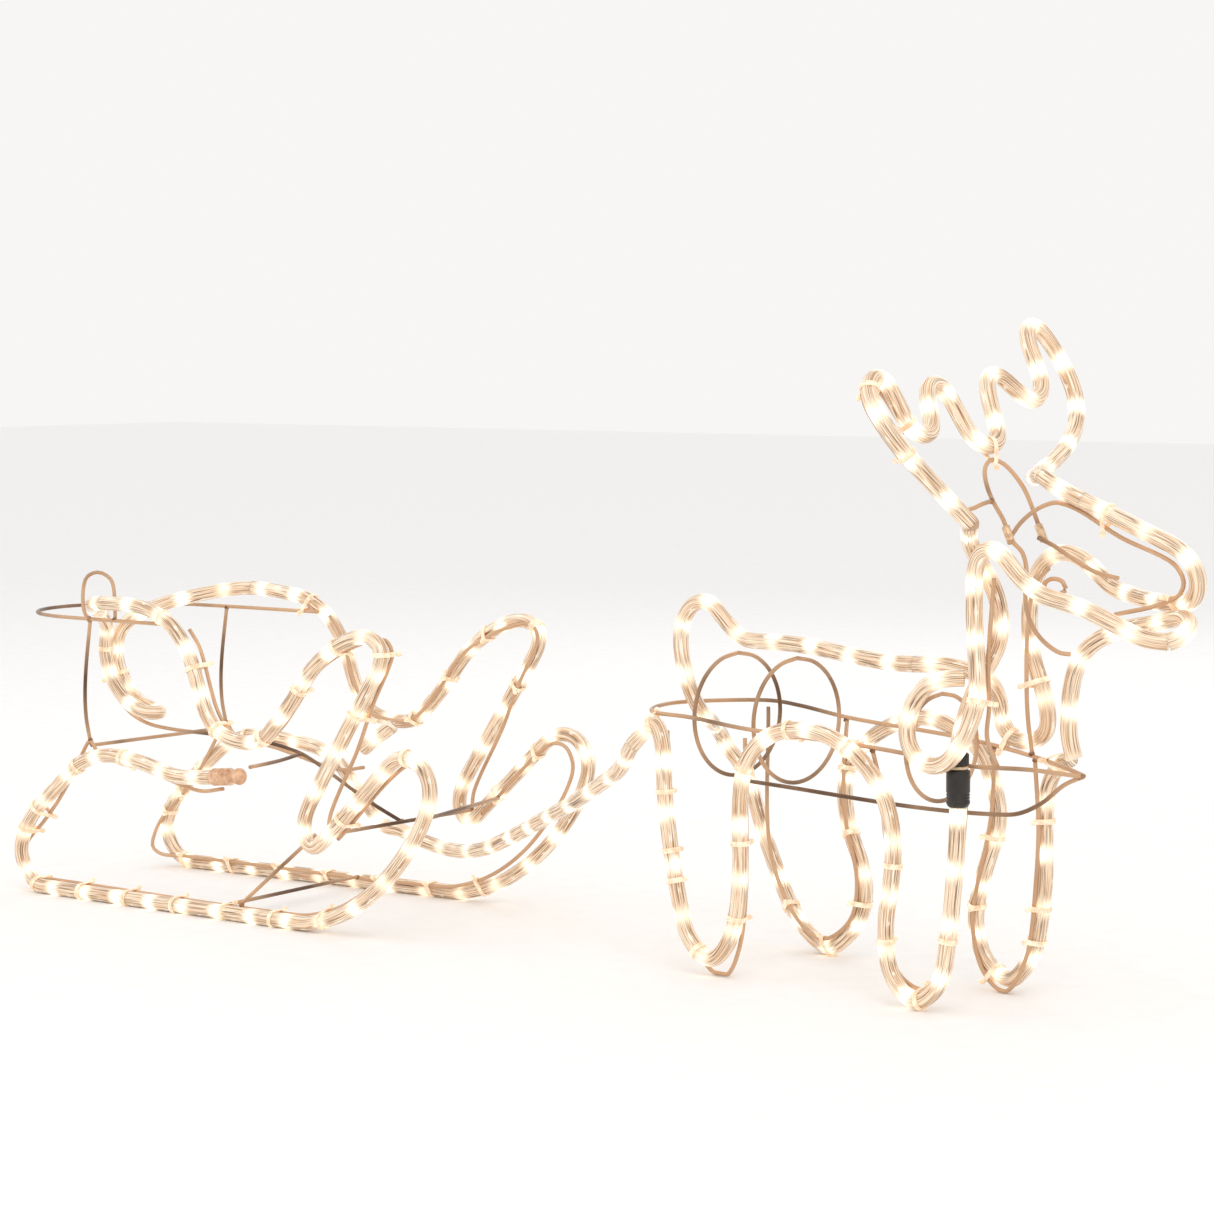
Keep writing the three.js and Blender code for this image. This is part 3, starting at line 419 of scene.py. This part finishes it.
def floor_paper():
    g = Graph("floor_paper")
    fibre = g.noise(g.object_place(), 40.0, 4.0)
    g.set(Base_Color=g.ramp(fibre, [(0.3, rgb(0.93, 0.925, 0.92)), (0.7, rgb(0.96, 0.955, 0.95))]))
    g.set(Roughness=0.9)
    return g.material


# ------------------------------------------------------------------ centre lines


def flat_patch(start):
    """The faces round start that lie in its plane."""
    patch = {start}
    waiting = [start]
    while waiting:
        for edge in waiting.pop().edges:
            for face in edge.link_faces:
                if face not in patch and face.normal.dot(start.normal) > 0.99999:
                    patch.add(face)
                    waiting.append(face)
    return patch


def middle(points):
    return sum(points, Vector()) / len(points)


def find_lid(mesh, sides, corner):
    """The corners of one end of a tube: a flat regular polygon."""
    for face in mesh.faces:
        lid = {vert for member in flat_patch(face) for vert in member.verts}
        if len(lid) != sides:
            continue
        centre = middle([vert.co for vert in lid])
        if all(abs((vert.co - centre).length - corner) < 0.02 * corner for vert in lid):
            return lid
    raise ValueError("this node is no tube")


def tube_stations(node, sides, corner):
    """Where a CAD tube's rings are, as [place, direction], from one end to the other."""
    mesh = bmesh.new()
    mesh.from_mesh(NODES[node].data)
    bmesh.ops.remove_doubles(mesh, verts=mesh.verts, dist=1e-6)
    mesh.verts.index_update()
    ring = find_lid(mesh, sides, corner)
    seen = set(ring)
    rings = []
    while ring:
        # Sets have no fixed order, and the sums below round differently in each one.
        rings.append([vert.co.copy() for vert in sorted(ring, key=lambda vert: vert.index)])
        ring = {edge.other_vert(vert) for vert in ring for edge in vert.link_edges} - seen
        seen |= ring
    mesh.free()
    centres = [middle(points) for points in rings]
    stations = []
    for i, (centre, points) in enumerate(zip(centres, rings)):
        arm = points[0] - centre
        other = min((point - centre for point in points[1:]), key=lambda reach: abs(reach.dot(arm)))
        normal = arm.cross(other).normalized()
        onward = centres[min(i + 1, len(centres) - 1)] - centres[max(i - 1, 0)]
        stations.append([centre, normal if normal.dot(onward) > 0 else -normal])
    return stations


def backwards(stations):
    return [[place, -direction] for place, direction in reversed(stations)]


def hermite(start, leaving, end, arriving, t):
    """A point of the curve that starts and ends at two places with two velocities."""
    return (
        start * (2 * t**3 - 3 * t**2 + 1)
        + leaving * (t**3 - 2 * t**2 + t)
        + end * (3 * t**2 - 2 * t**3)
        + arriving * (t**3 - t**2)
    )


def straightened(stations):
    """The stations, with those at the ends of a straight facing along it, not halfway into the bend."""
    links = [after[0] - before[0] for before, after in zip(stations, stations[1:])]
    turned = [list(station) for station in stations]
    for station, before, after in zip(turned[1:-1], links, links[1:]):
        if before.length > STRAIGHT * after.length:
            station[1] = before.normalized()
        elif after.length > STRAIGHT * before.length:
            station[1] = after.normalized()
    return turned


def smooth_path(stations, step):
    """Points about a step apart on the curve through the stations in their directions."""
    path = []
    for (start, leaving), (end, arriving) in zip(stations, stations[1:]):
        span = (end - start).length
        count = max(1, round(span / step))
        for i in range(count):
            path.append(hermite(start, leaving * span, end, arriving * span, i / count))
    path.append(stations[-1][0].copy())
    return path


def relaxed(path):
    """The path with its sharp corners eased, as a thick rope would round them. Its ends stay."""
    for _ in range(EASING):
        middles = [(a + b + b + c) / 4 for a, b, c in zip(path, path[1:], path[2:])]
        path = [path[0], *middles, path[-1]]
    return path


def catmull_rom(points, step):
    """A centripetal curve through every point but the first and the last, which only steer it."""
    path = []
    for p0, p1, p2, p3 in zip(points, points[1:], points[2:], points[3:]):
        k0, k1, k2 = ((b - a).length ** 0.5 for a, b in ((p0, p1), (p1, p2), (p2, p3)))
        leaving = ((p1 - p0) / k0 - (p2 - p0) / (k0 + k1) + (p2 - p1) / k1) * k1
        arriving = ((p2 - p1) / k1 - (p3 - p1) / (k1 + k2) + (p3 - p2) / k2) * k1
        count = max(2, round((p2 - p1).length / step))
        for i in range(count):
            path.append(hermite(p1, leaving, p2, arriving, i / count))
    path.append(points[-2].copy())
    return path


def directions(path):
    """The way a path runs at each of its points."""
    ends = [path[0]] + path + [path[-1]]
    return [(after - before).normalized() for before, after in zip(ends, ends[2:])]


def distances(path):
    """How far each point of a path is from its start, along it."""
    travelled = [0.0]
    for before, after in zip(path, path[1:]):
        travelled.append(travelled[-1] + (after - before).length)
    return travelled


def stretch(path, start, end):
    """The path with its ends carried on, straight, by these lengths."""
    runs = directions(path)
    first = path[0] - runs[0] * start
    last = path[-1] + runs[-1] * end
    return [first] + path[1:-1] + [last]


# ------------------------------------------------------------------ pieces


def add_piece(name, mesh, material, smooth=True):
    """An object made of a bmesh, which is used up."""
    data = bpy.data.meshes.new(name)
    mesh.to_mesh(data)
    mesh.free()
    data.materials.append(material)
    data.polygons.foreach_set("use_smooth", [smooth] * len(data.polygons))
    piece = bpy.data.objects.new(name, data)
    bpy.context.scene.collection.objects.link(piece)
    return piece


def sweep(path, radii, segments, along=0.0):
    """A round tube on a path, with its own radius at each point.

    Its UVs are the share of a turn, and the metres from the start of its rope."""
    runs = directions(path)
    travelled = distances(path)
    mesh = bmesh.new()
    uv = mesh.loops.layers.uv.new("UVMap")
    normal = runs[0].orthogonal().normalized()
    rings = []
    for place, run, radius in zip(path, runs, radii):
        normal = (normal - run * normal.dot(run)).normalized()
        across = run.cross(normal)
        ring = []
        for i in range(segments):
            turn = 2 * math.pi * i / segments
            ring.append(mesh.verts.new(place + (normal * math.cos(turn) + across * math.sin(turn)) * radius))
        rings.append(ring)
    for j, (ring, onward) in enumerate(zip(rings, rings[1:])):
        for i in range(segments):
            k = (i + 1) % segments
            face = mesh.faces.new((ring[i], ring[k], onward[k], onward[i]))
            shares = (i / segments, (i + 1) / segments)
            lengths = (along + travelled[j], along + travelled[j + 1])
            corners = ((0, 0), (1, 0), (1, 1), (0, 1))
            for loop, (a, b) in zip(face.loops, corners):
                loop[uv].uv = (shares[a], lengths[b])
    for ring, length in ((rings[0][::-1], 0.0), (rings[-1], travelled[-1])):
        for loop in mesh.faces.new(ring).loops:
            loop[uv].uv = (0.25, along + length)
    return mesh


def rope_mesh(path, along, round_start=False, round_end=False):
    """A rope on a path, with the ends that stand free rounded."""
    radii = [ROPE_RADIUS] * len(path)
    if round_start:
        path, radii = rounded_start(path, radii)
    if round_end:
        path, radii = rounded_start(path[::-1], radii[::-1])
        path, radii = path[::-1], radii[::-1]
    return sweep(path, radii, ROPE_SEGMENTS, along)


def rounded_start(path, radii):
    run = (path[1] - path[0]).normalized()
    places = []
    sizes = []
    for degrees in (8, 30, 55, 75):
        turn = math.radians(degrees)
        places.append(path[0] + run * ROPE_ROUNDING * (1 - math.sin(turn)))
        sizes.append(ROPE_RADIUS - ROPE_ROUNDING * (1 - math.cos(math.pi / 2 - turn)) * 1.6)
    return places + [path[0] + run * ROPE_ROUNDING] + path[1:], sizes + radii


def body_of(node):
    return NODES[node]["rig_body"]


# ------------------------------------------------------------------ ropes and the lead


def nearest_end(stations, place):
    return min((stations[0][0] - place).length, (stations[-1][0] - place).length)


def chain_stations(runs):
    """Each run's stations, all turned to follow on from one another."""
    found = {run: tube_stations(run, ROPE_SIDES, ROPE_CORNER) for run in runs}
    if len(runs) > 1:
        first, second = found[runs[0]], found[runs[1]]
        if nearest_end(second, first[0][0]) < nearest_end(second, first[-1][0]):
            found[runs[0]] = backwards(first)
    for before, run in zip(runs, runs[1:]):
        end = found[before][-1][0]
        if (found[run][-1][0] - end).length < (found[run][0][0] - end).length:
            found[run] = backwards(found[run])
    return found


def lead_path(start):
    """The lead's line, placed by the end of the far runner that it leaves."""
    shift = start - LEAD_START
    points = [LEAD_BEFORE, LEAD_START, *LEAD_ROUTE, LEAD_AFTER]
    return catmull_rom([Vector(point) + shift for point in points], ROPE_STEP)


def add_rope_run(name, node, path, along, material, free_start=False, free_end=False):
    piece = add_piece(name, rope_mesh(path, along, free_start, free_end), material)
    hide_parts(node)
    return piece


def split(path, length):
    """A path cut at a length from its start."""
    travelled = distances(path)
    cut = next(i for i, distance in enumerate(travelled) if distance >= length)
    return path[: cut + 1], path[cut:]


def add_ropes(material):
    """Every run of rope light. Returns the line of each by its node's name."""
    lines = {}
    for runs in CHAINS:
        stations = chain_stations(runs)
        along = 0.0
        for i, node in enumerate(runs):
            path = relaxed(smooth_path(straightened(stations[node]), ROPE_STEP))
            if node == "lead_cord":
                path = lead_path(lines["far_runner_rope"][-1])
            lines[node] = path
            free_start = i == 0 and node != "near_runner_rope"
            free_end = i == len(runs) - 1 and node not in ("near_leg_rope", "neck_feed_rope")
            path = stretch(path, 0.0 if free_start else JOIN_GAP, 0.0 if free_end else JOIN_GAP)
            if node == "head_rope":
                add_flexing(node, path, along, material, at_end=True)
            elif node == "neck_feed_rope":
                add_flexing(node, path, along, material, at_end=False)
            else:
                piece = add_rope_run(node + "_light", node, path, along, material, free_start, free_end)
                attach(piece, body_of(node))
            along += distances(path)[-1]
    return lines


def add_flexing(node, path, along, material, at_end):
    """A run that meets the antlers, cut in two: the stretch by the antlers, where the real rope gives as they
    lift, is a piece of its own that is fixed to no body.
    """
    whole = distances(path)[-1]
    first, second = split(path, whole - FLEX if at_end else FLEX)
    still, giving = (first, second) if at_end else (second, first)
    offsets = {id(first): along, id(second): along + distances(first)[-1]}
    piece = add_rope_run(node + "_light", node, still, offsets[id(still)], material)
    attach(piece, "figure")
    flexing = add_rope_run(node + "_flex", node, giving, offsets[id(giving)], material)
    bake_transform(flexing)


# ------------------------------------------------------------------ frame wires


def wire_nodes():
    return sorted(name for name in NODES if name.endswith("_wire"))


def index_points(lines):
    """A search tree over several lines' points, with the name and place of each."""
    entries = [(name, i) for name, path in lines.items() for i in range(len(path))]
    tree = kdtree.KDTree(len(entries))
    for number, (name, i) in enumerate(entries):
        tree.insert(lines[name][i], number)
    tree.balance()
    return tree, entries


def add_wires(material, rope_lines):
    """Every frame wire. Returns the line of each by its node's name."""
    ropes, _ = index_points(rope_lines)
    lines = {}
    for node in wire_nodes():
        path = smooth_path(tube_stations(node, WIRE_SIDES, WIRE_CORNER), WIRE_STEP)
        lines[node] = path
        longer = stretch(path, WIRE_REACH, WIRE_REACH)
        radii = [WIRE_RADIUS] * len(longer)
        piece = add_piece(node + "_rod", sweep(longer, radii, WIRE_SEGMENTS), material)
        add_glow(piece, ropes)
        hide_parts(node)
        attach(piece, body_of(node))
    return lines


def add_glow(piece, ropes):
    """Stores how near each point is to a lit rope: 1 beside it, falling off over a few centimetres."""
    attribute = piece.data.attributes.new("glow", "FLOAT", "POINT")
    for vert, value in zip(piece.data.vertices, attribute.data):
        distance = ropes.find(vert.co)[2]
        value.value = math.exp(-max(0.0, distance - 0.008) / 0.06)


def add_welds(material, wire_lines):
    """A bead at each wire's end that stands against another wire."""
    rng = random.Random(7)
    tree, entries = index_points(wire_lines)
    beads = {"figure": bmesh.new(), "antlers": bmesh.new()}
    for node, path in wire_lines.items():
        for end in (path[0], path[-1]):
            near = [hit for hit in tree.find_range(end, WELD_REACH) if entries[hit[1]][0] != node]
            near = [hit for hit in near if body_of(entries[hit[1]][0]) == body_of(node)]
            if near:
                other = min(near, key=lambda hit: hit[2])[0]
                add_bead(beads[body_of(node)], end.lerp(other, 0.4), other - end, rng)
    for body, mesh in beads.items():
        piece = add_piece(body + "_weld_beads", mesh, material)
        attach(piece, body)


def add_bead(mesh, place, across, rng):
    """A lumpy drop, flattened towards the wire it sits on."""
    made = bmesh.ops.create_icosphere(mesh, subdivisions=3, radius=WELD_RADIUS)
    axis = across.normalized()
    lumps = [Vector([rng.uniform(-1, 1) for _ in "xyz"]).normalized() for _ in range(4)]
    for vert in made["verts"]:
        outward = vert.co.normalized()
        swell = sum(max(0.0, outward.dot(lump)) ** 6 for lump in lumps)
        vert.co *= 0.92 + 0.16 * swell
        vert.co -= axis * vert.co.dot(axis) * 0.2
        vert.co += place


# ------------------------------------------------------------------ clips


def pear(reach, large, small, count):
    """Points [across, up] round a large circle and a small one whose centre is reach away."""
    lean = math.acos((large - small) / reach)
    points = []
    for i in range(count):
        turn = lean + (2 * math.pi - 2 * lean) * i / (count - 1)
        points.append((large * math.cos(turn), large * math.sin(turn)))
    for i in range(count // 2):
        turn = -lean + 2 * lean * i / (count // 2 - 1)
        points.append((reach + small * math.cos(turn), small * math.sin(turn)))
    return points


def clip_mesh(place, run, side, reach):
    """A band round a rope and the wire beside it, with a pinched knob past the wire."""
    up = run.cross(side)
    basis = Matrix((side, up, run)).transposed()
    mesh = bmesh.new()
    half = CLIP_WIDTH / 2
    edge = 0.0003
    # The band's section: [how far out from the inner face, how far along], its corners cut.
    section = [
        (edge, -half), (CLIP_WALL - edge, -half), (CLIP_WALL, -half + edge), (CLIP_WALL, half - edge),
        (CLIP_WALL - edge, half), (edge, half), (0.0, half - edge), (0.0, -half + edge),
    ]
    rings = []
    for out, along in section:
        outline = pear(reach, ROPE_RADIUS + 0.0001 + out, WIRE_RADIUS + 0.0002 + out, 22)
        rings.append([mesh.verts.new(place + basis @ Vector((x, y, along))) for x, y in outline])
    count = len(rings[0])
    for ring, onward in zip(rings, rings[1:] + rings[:1]):
        for i in range(count):
            k = (i + 1) % count
            mesh.faces.new((ring[i], ring[k], onward[k], onward[i]))
    add_knob(mesh, place, basis, reach + WIRE_RADIUS + CLIP_WALL)
    bmesh.ops.recalc_face_normals(mesh, faces=mesh.faces)
    return mesh


def add_knob(mesh, place, basis, foot):
    """The closed jaws: a neck that opens into a blunt, slightly wedge-shaped head."""
    # Each ring is [how far out, half height, half width].
    levels = [
        (-0.0006, 0.0016, 0.0017),
        (0.0008, 0.0013, 0.0016),
        (0.0016, 0.0017, 0.0019),
        (0.0022, 0.0021, 0.0021),
        (CLIP_KNOB - 0.0012, 0.0018, 0.0020),
        (CLIP_KNOB - 0.0003, 0.0014, 0.0017),
        (CLIP_KNOB, 0.0009, 0.0011),
    ]
    corners = [(1, 0.45), (0.45, 1), (-0.45, 1), (-1, 0.45), (-1, -0.45), (-0.45, -1), (0.45, -1), (1, -0.45)]
    rings = []
    for out, height, width in levels:
        points = [Vector((foot + out, height * a, width * b)) for a, b in corners]
        rings.append([mesh.verts.new(place + basis @ point) for point in points])
    for ring, onward in zip(rings, rings[1:]):
        for i in range(len(corners)):
            k = (i + 1) % len(corners)
            mesh.faces.new((ring[i], ring[k], onward[k], onward[i]))
    mesh.faces.new(rings[0])
    mesh.faces.new(rings[-1])


def clip_seat(path, i, wires, wire_lines, farthest=CLIP_FARTHEST):
    """[place, run, side, reach] of a clip at a rope's point, or None where no wire runs beside it."""
    tree, entries = wires
    place = path[i]
    run = (path[i + 1] - path[i - 1]).normalized()
    nearest = tree.find(place)
    name, number = entries[nearest[1]]
    line = wire_lines[name]
    if not 1 <= number < len(line) - 1:
        return None
    wire_run = (line[number + 1] - line[number - 1]).normalized()
    if abs(wire_run.dot(run)) < CLIP_ALONG:
        return None
    towards = nearest[0] - place
    towards -= run * (towards.dot(run))
    if not CLIP_NEAREST < towards.length < farthest:
        return None
    return place, run, towards.normalized(), towards.length


def add_clips(material, rope_lines, wire_lines):
    """A clip every so often wherever a wire backs the rope, and one in each CAD clip's place."""
    wires = index_points(wire_lines)
    taken = []
    for node in sorted(name for name in NODES if name.endswith("_clip")):
        low, high = (Vector(corner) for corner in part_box(node))
        centre = (low + high) / 2
        seats = []
        for path in rope_lines.values():
            for i in range(2, len(path) - 2):
                if (path[i] - centre).length < CAD_CLIP_SEARCH:
                    seats.append(clip_seat(path, i, wires, wire_lines, farthest=CAD_CLIP_FARTHEST))
        seat = min((s for s in seats if s), key=lambda s: (s[0] - centre).length)
        taken.append(add_clip(node + "_band", material, seat, "figure", node))
    for node, path in rope_lines.items():
        travelled = distances(path)
        last = 0.0
        number = 0
        for i in range(6, len(path) - 6):
            if travelled[i] - last < CLIP_SPACING and number > 0:
                continue
            seat = clip_seat(path, i, wires, wire_lines)
            if seat is None or any((seat[0] - other).length < CLIP_APART for other in taken):
                continue
            number += 1
            last = travelled[i]
            name = node.replace("_rope", "") + f"_clip_{number}"
            taken.append(add_clip(name, material, seat, body_of(node), None))


def add_clip(name, material, seat, body, node):
    piece = add_piece(name, clip_mesh(*seat), material, smooth=False)
    if node:
        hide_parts(node)
    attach(piece, body)
    return seat[0]


# ------------------------------------------------------------------ fittings


def lathe(profile, place, axis, segments, hollow=False):
    """A profile of (radius, height), turned round an axis that leaves a place.

    A hollow one's profile closes on itself and leaves a hole through the middle."""
    turn = UP.rotation_difference(axis).to_matrix()
    mesh = bmesh.new()
    rings = []
    for radius, height in profile:
        ring = []
        for i in range(segments):
            angle = 2 * math.pi * i / segments
            point = Vector((radius * math.cos(angle), radius * math.sin(angle), height))
            ring.append(mesh.verts.new(place + turn @ point))
        rings.append(ring)
    onward_rings = rings[1:] + rings[:1] if hollow else rings[1:]
    for ring, onward in zip(rings, onward_rings):
        for i in range(segments):
            k = (i + 1) % segments
            mesh.faces.new((ring[i], ring[k], onward[k], onward[i]))
    if not hollow:
        mesh.faces.new(rings[0][::-1])
        mesh.faces.new(rings[-1])
    return mesh


def add_end_cap(material, rope_lines):
    """A ridged sleeve, shrunk onto the rope and closed by a round tip."""
    path = rope_lines["near_runner_rope"]
    axis = (path[0] - path[1]).normalized()
    body = CAP_RADIUS - 0.0009
    profile = [(ROPE_RADIUS + 0.0002, 0.0), (body, 0.0005)]
    ridges = 5
    pitch = CAP_LENGTH * 0.6 / ridges
    for i in range(ridges):
        for share, radius in ((0.2, body), (0.32, CAP_RADIUS), (0.6, CAP_RADIUS), (0.74, body), (0.95, body)):
            profile.append((radius, pitch * (i + share) + 0.001))
    tip = CAP_LENGTH * 0.72
    profile.append((body - 0.0012, tip - 0.001))
    profile.append((body - 0.0012, tip))
    bulb = CAP_RADIUS - 0.0002
    for degrees in range(-50, 90, 12):
        turn = math.radians(degrees)
        middle_height = CAP_LENGTH - bulb * 0.72
        profile.append((bulb * math.cos(turn), middle_height + bulb * 0.72 * math.sin(turn)))
    piece = add_piece("rope_end_cap_sleeve", lathe(profile, path[0] + axis * 0.0003, axis, 40), material)
    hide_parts("rope_end_cap")
    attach(piece, "figure")


def upright_place(node):
    """(foot, height, radius) of a CAD piece that stands upright and round."""
    low, high = (Vector(corner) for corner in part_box(node))
    foot = Vector(((low.x + high.x) / 2, (low.y + high.y) / 2, low.z))
    return foot, high.z - low.z, (high.x - low.x) / 2


def add_connector(plastic, rubber):
    """The body with its grip rings, the seal, and the nut with rounded ribs."""
    foot, height, radius = upright_place("connector_body")
    profile = [(radius - 0.0025, 0.0), (radius - 0.0012, 0.0006), (radius - 0.0006, 0.0020), (radius, 0.0030)]
    groove = 0.0022
    for i in range(3):
        start = 0.005 + i * groove
        for share, depth in ((0.0, 0.0), (0.25, 0.0005), (0.6, 0.0005), (0.85, 0.0)):
            profile.append((radius - depth, start + groove * share))
    profile += [(radius, height - 0.0012), (radius - 0.0004, height - 0.0004), (radius - 0.0012, height)]
    body = add_piece("connector_body_shell", lathe(profile, foot, UP, 48), plastic)
    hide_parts("connector_body")
    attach(body, "figure")

    foot, height, radius = upright_place("connector_seal")
    bead = [(radius * 0.8, 0.0)]
    for degrees in range(-75, 76, 25):
        turn = math.radians(degrees)
        bead.append((radius - 0.0012 + 0.0012 * math.cos(turn), height / 2 * (1 + math.sin(turn))))
    bead.append((radius * 0.8, height))
    seal = add_piece("connector_seal_ring", lathe(bead, foot, UP, 48), rubber)
    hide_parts("connector_seal")
    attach(seal, "figure")
    add_nut(plastic)


def add_nut(material):
    ribs = 12
    foot, height, radius = upright_place("connector_nut")
    mesh = bmesh.new()
    rings = []
    # Each level is [height, how far the ribs stand in].
    levels = [
        (0.0, 0.0010),
        (0.0006, 0.0),
        (height - 0.0016, 0.0),
        (height - 0.0006, 0.0009),
        (height, 0.0017),
    ]
    for level, inset in levels:
        ring = []
        count = ribs * 8
        for i in range(count):
            turn = 2 * math.pi * i / count
            reach = radius - inset - 0.0009 * (0.5 - 0.5 * math.cos(ribs * turn)) ** 2
            point = Vector((math.cos(turn) * reach, math.sin(turn) * reach, level))
            ring.append(mesh.verts.new(foot + point))
        rings.append(ring)
    for ring, onward in zip(rings, rings[1:]):
        for i in range(len(ring)):
            k = (i + 1) % len(ring)
            mesh.faces.new((ring[i], ring[k], onward[k], onward[i]))
    mesh.faces.new(rings[0][::-1])
    mesh.faces.new(rings[-1])
    nut = add_piece("connector_nut_ribbed", mesh, material)
    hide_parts("connector_nut")
    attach(nut, "nut")


def add_sockets(material):
    """The two short tubes that the antler prongs slide in, their mouths rolled."""
    lean = Vector((-math.sin(ANTLER_LEAN), 0, math.cos(ANTLER_LEAN)))
    axis = Matrix.Rotation(REINDEER_TURN, 3, "Z") @ lean
    for word in ("near", "far"):
        node = word + "_antler_socket"
        points = [vert.co for vert in NODES[node].data.vertices]
        heights = [point.dot(axis) for point in points]
        length = max(heights) - min(heights)
        centre = middle(points)
        foot = centre + axis * (min(heights) - centre.dot(axis))
        outer = max((p - centre - axis * (p - centre).dot(axis)).length for p in points)
        bore = outer - 0.0012
        roll = 0.0004
        profile = [
            (bore, roll), (bore + roll, 0.0), (outer - roll, 0.0), (outer, roll), (outer, length * 0.3),
            (outer - 0.0002, length * 0.33), (outer, length * 0.36), (outer, length - roll),
            (outer - roll, length), (bore + roll, length), (bore, length - roll),
        ]
        piece = add_piece(node + "_tube", lathe(profile, foot, axis, 32, hollow=True), material)
        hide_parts(node)
        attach(piece, "figure")


# ------------------------------------------------------------------ stage and light


def add_floor(material):
    mesh = bmesh.new()
    bmesh.ops.create_grid(mesh, x_segments=2, y_segments=2, size=12.0)
    floor = add_piece("floor", mesh, material)
    floor.location.z = -0.0006


def add_area_light(name, place, size, energy, colour):
    data = bpy.data.lights.new(name, "AREA")
    data.size = size
    data.energy = energy
    data.color = colour
    light = bpy.data.objects.new(name, data)
    light.location = place
    light.rotation_euler = (CAMERA_TARGET - Vector(place)).to_track_quat("-Z", "Y").to_euler()
    bpy.context.scene.collection.objects.link(light)


def add_lights():
    add_area_light("key", (1.6, -1.6, 2.4), 1.8, 16.0, (1.0, 0.97, 0.93))
    add_area_light("fill", (-2.2, -1.2, 1.6), 2.2, 8.0, (1.0, 0.98, 0.96))
    add_area_light("back", (-0.6, 2.4, 2.0), 2.0, 8.0, (1.0, 0.98, 0.95))
    world = bpy.data.worlds.new("studio")
    world.use_nodes = True
    background = world.node_tree.nodes["Background"]
    background.inputs["Color"].default_value = (1.0, 0.99, 0.98, 1.0)
    background.inputs["Strength"].default_value = 0.93
    bpy.context.scene.world = world
    bpy.context.scene.view_settings.view_transform = "Standard"


# ------------------------------------------------------------------ assembly

add_camera()
rope_lines = add_ropes(rope_light())
wire_lines = add_wires(frame_wire(), rope_lines)
add_welds(weld_metal(), wire_lines)
add_clips(clip_plastic(), rope_lines, wire_lines)
add_end_cap(cap_plastic(), rope_lines)
add_connector(connector_plastic(), seal_rubber())
add_sockets(socket_steel())
add_floor(floor_paper())
add_lights()
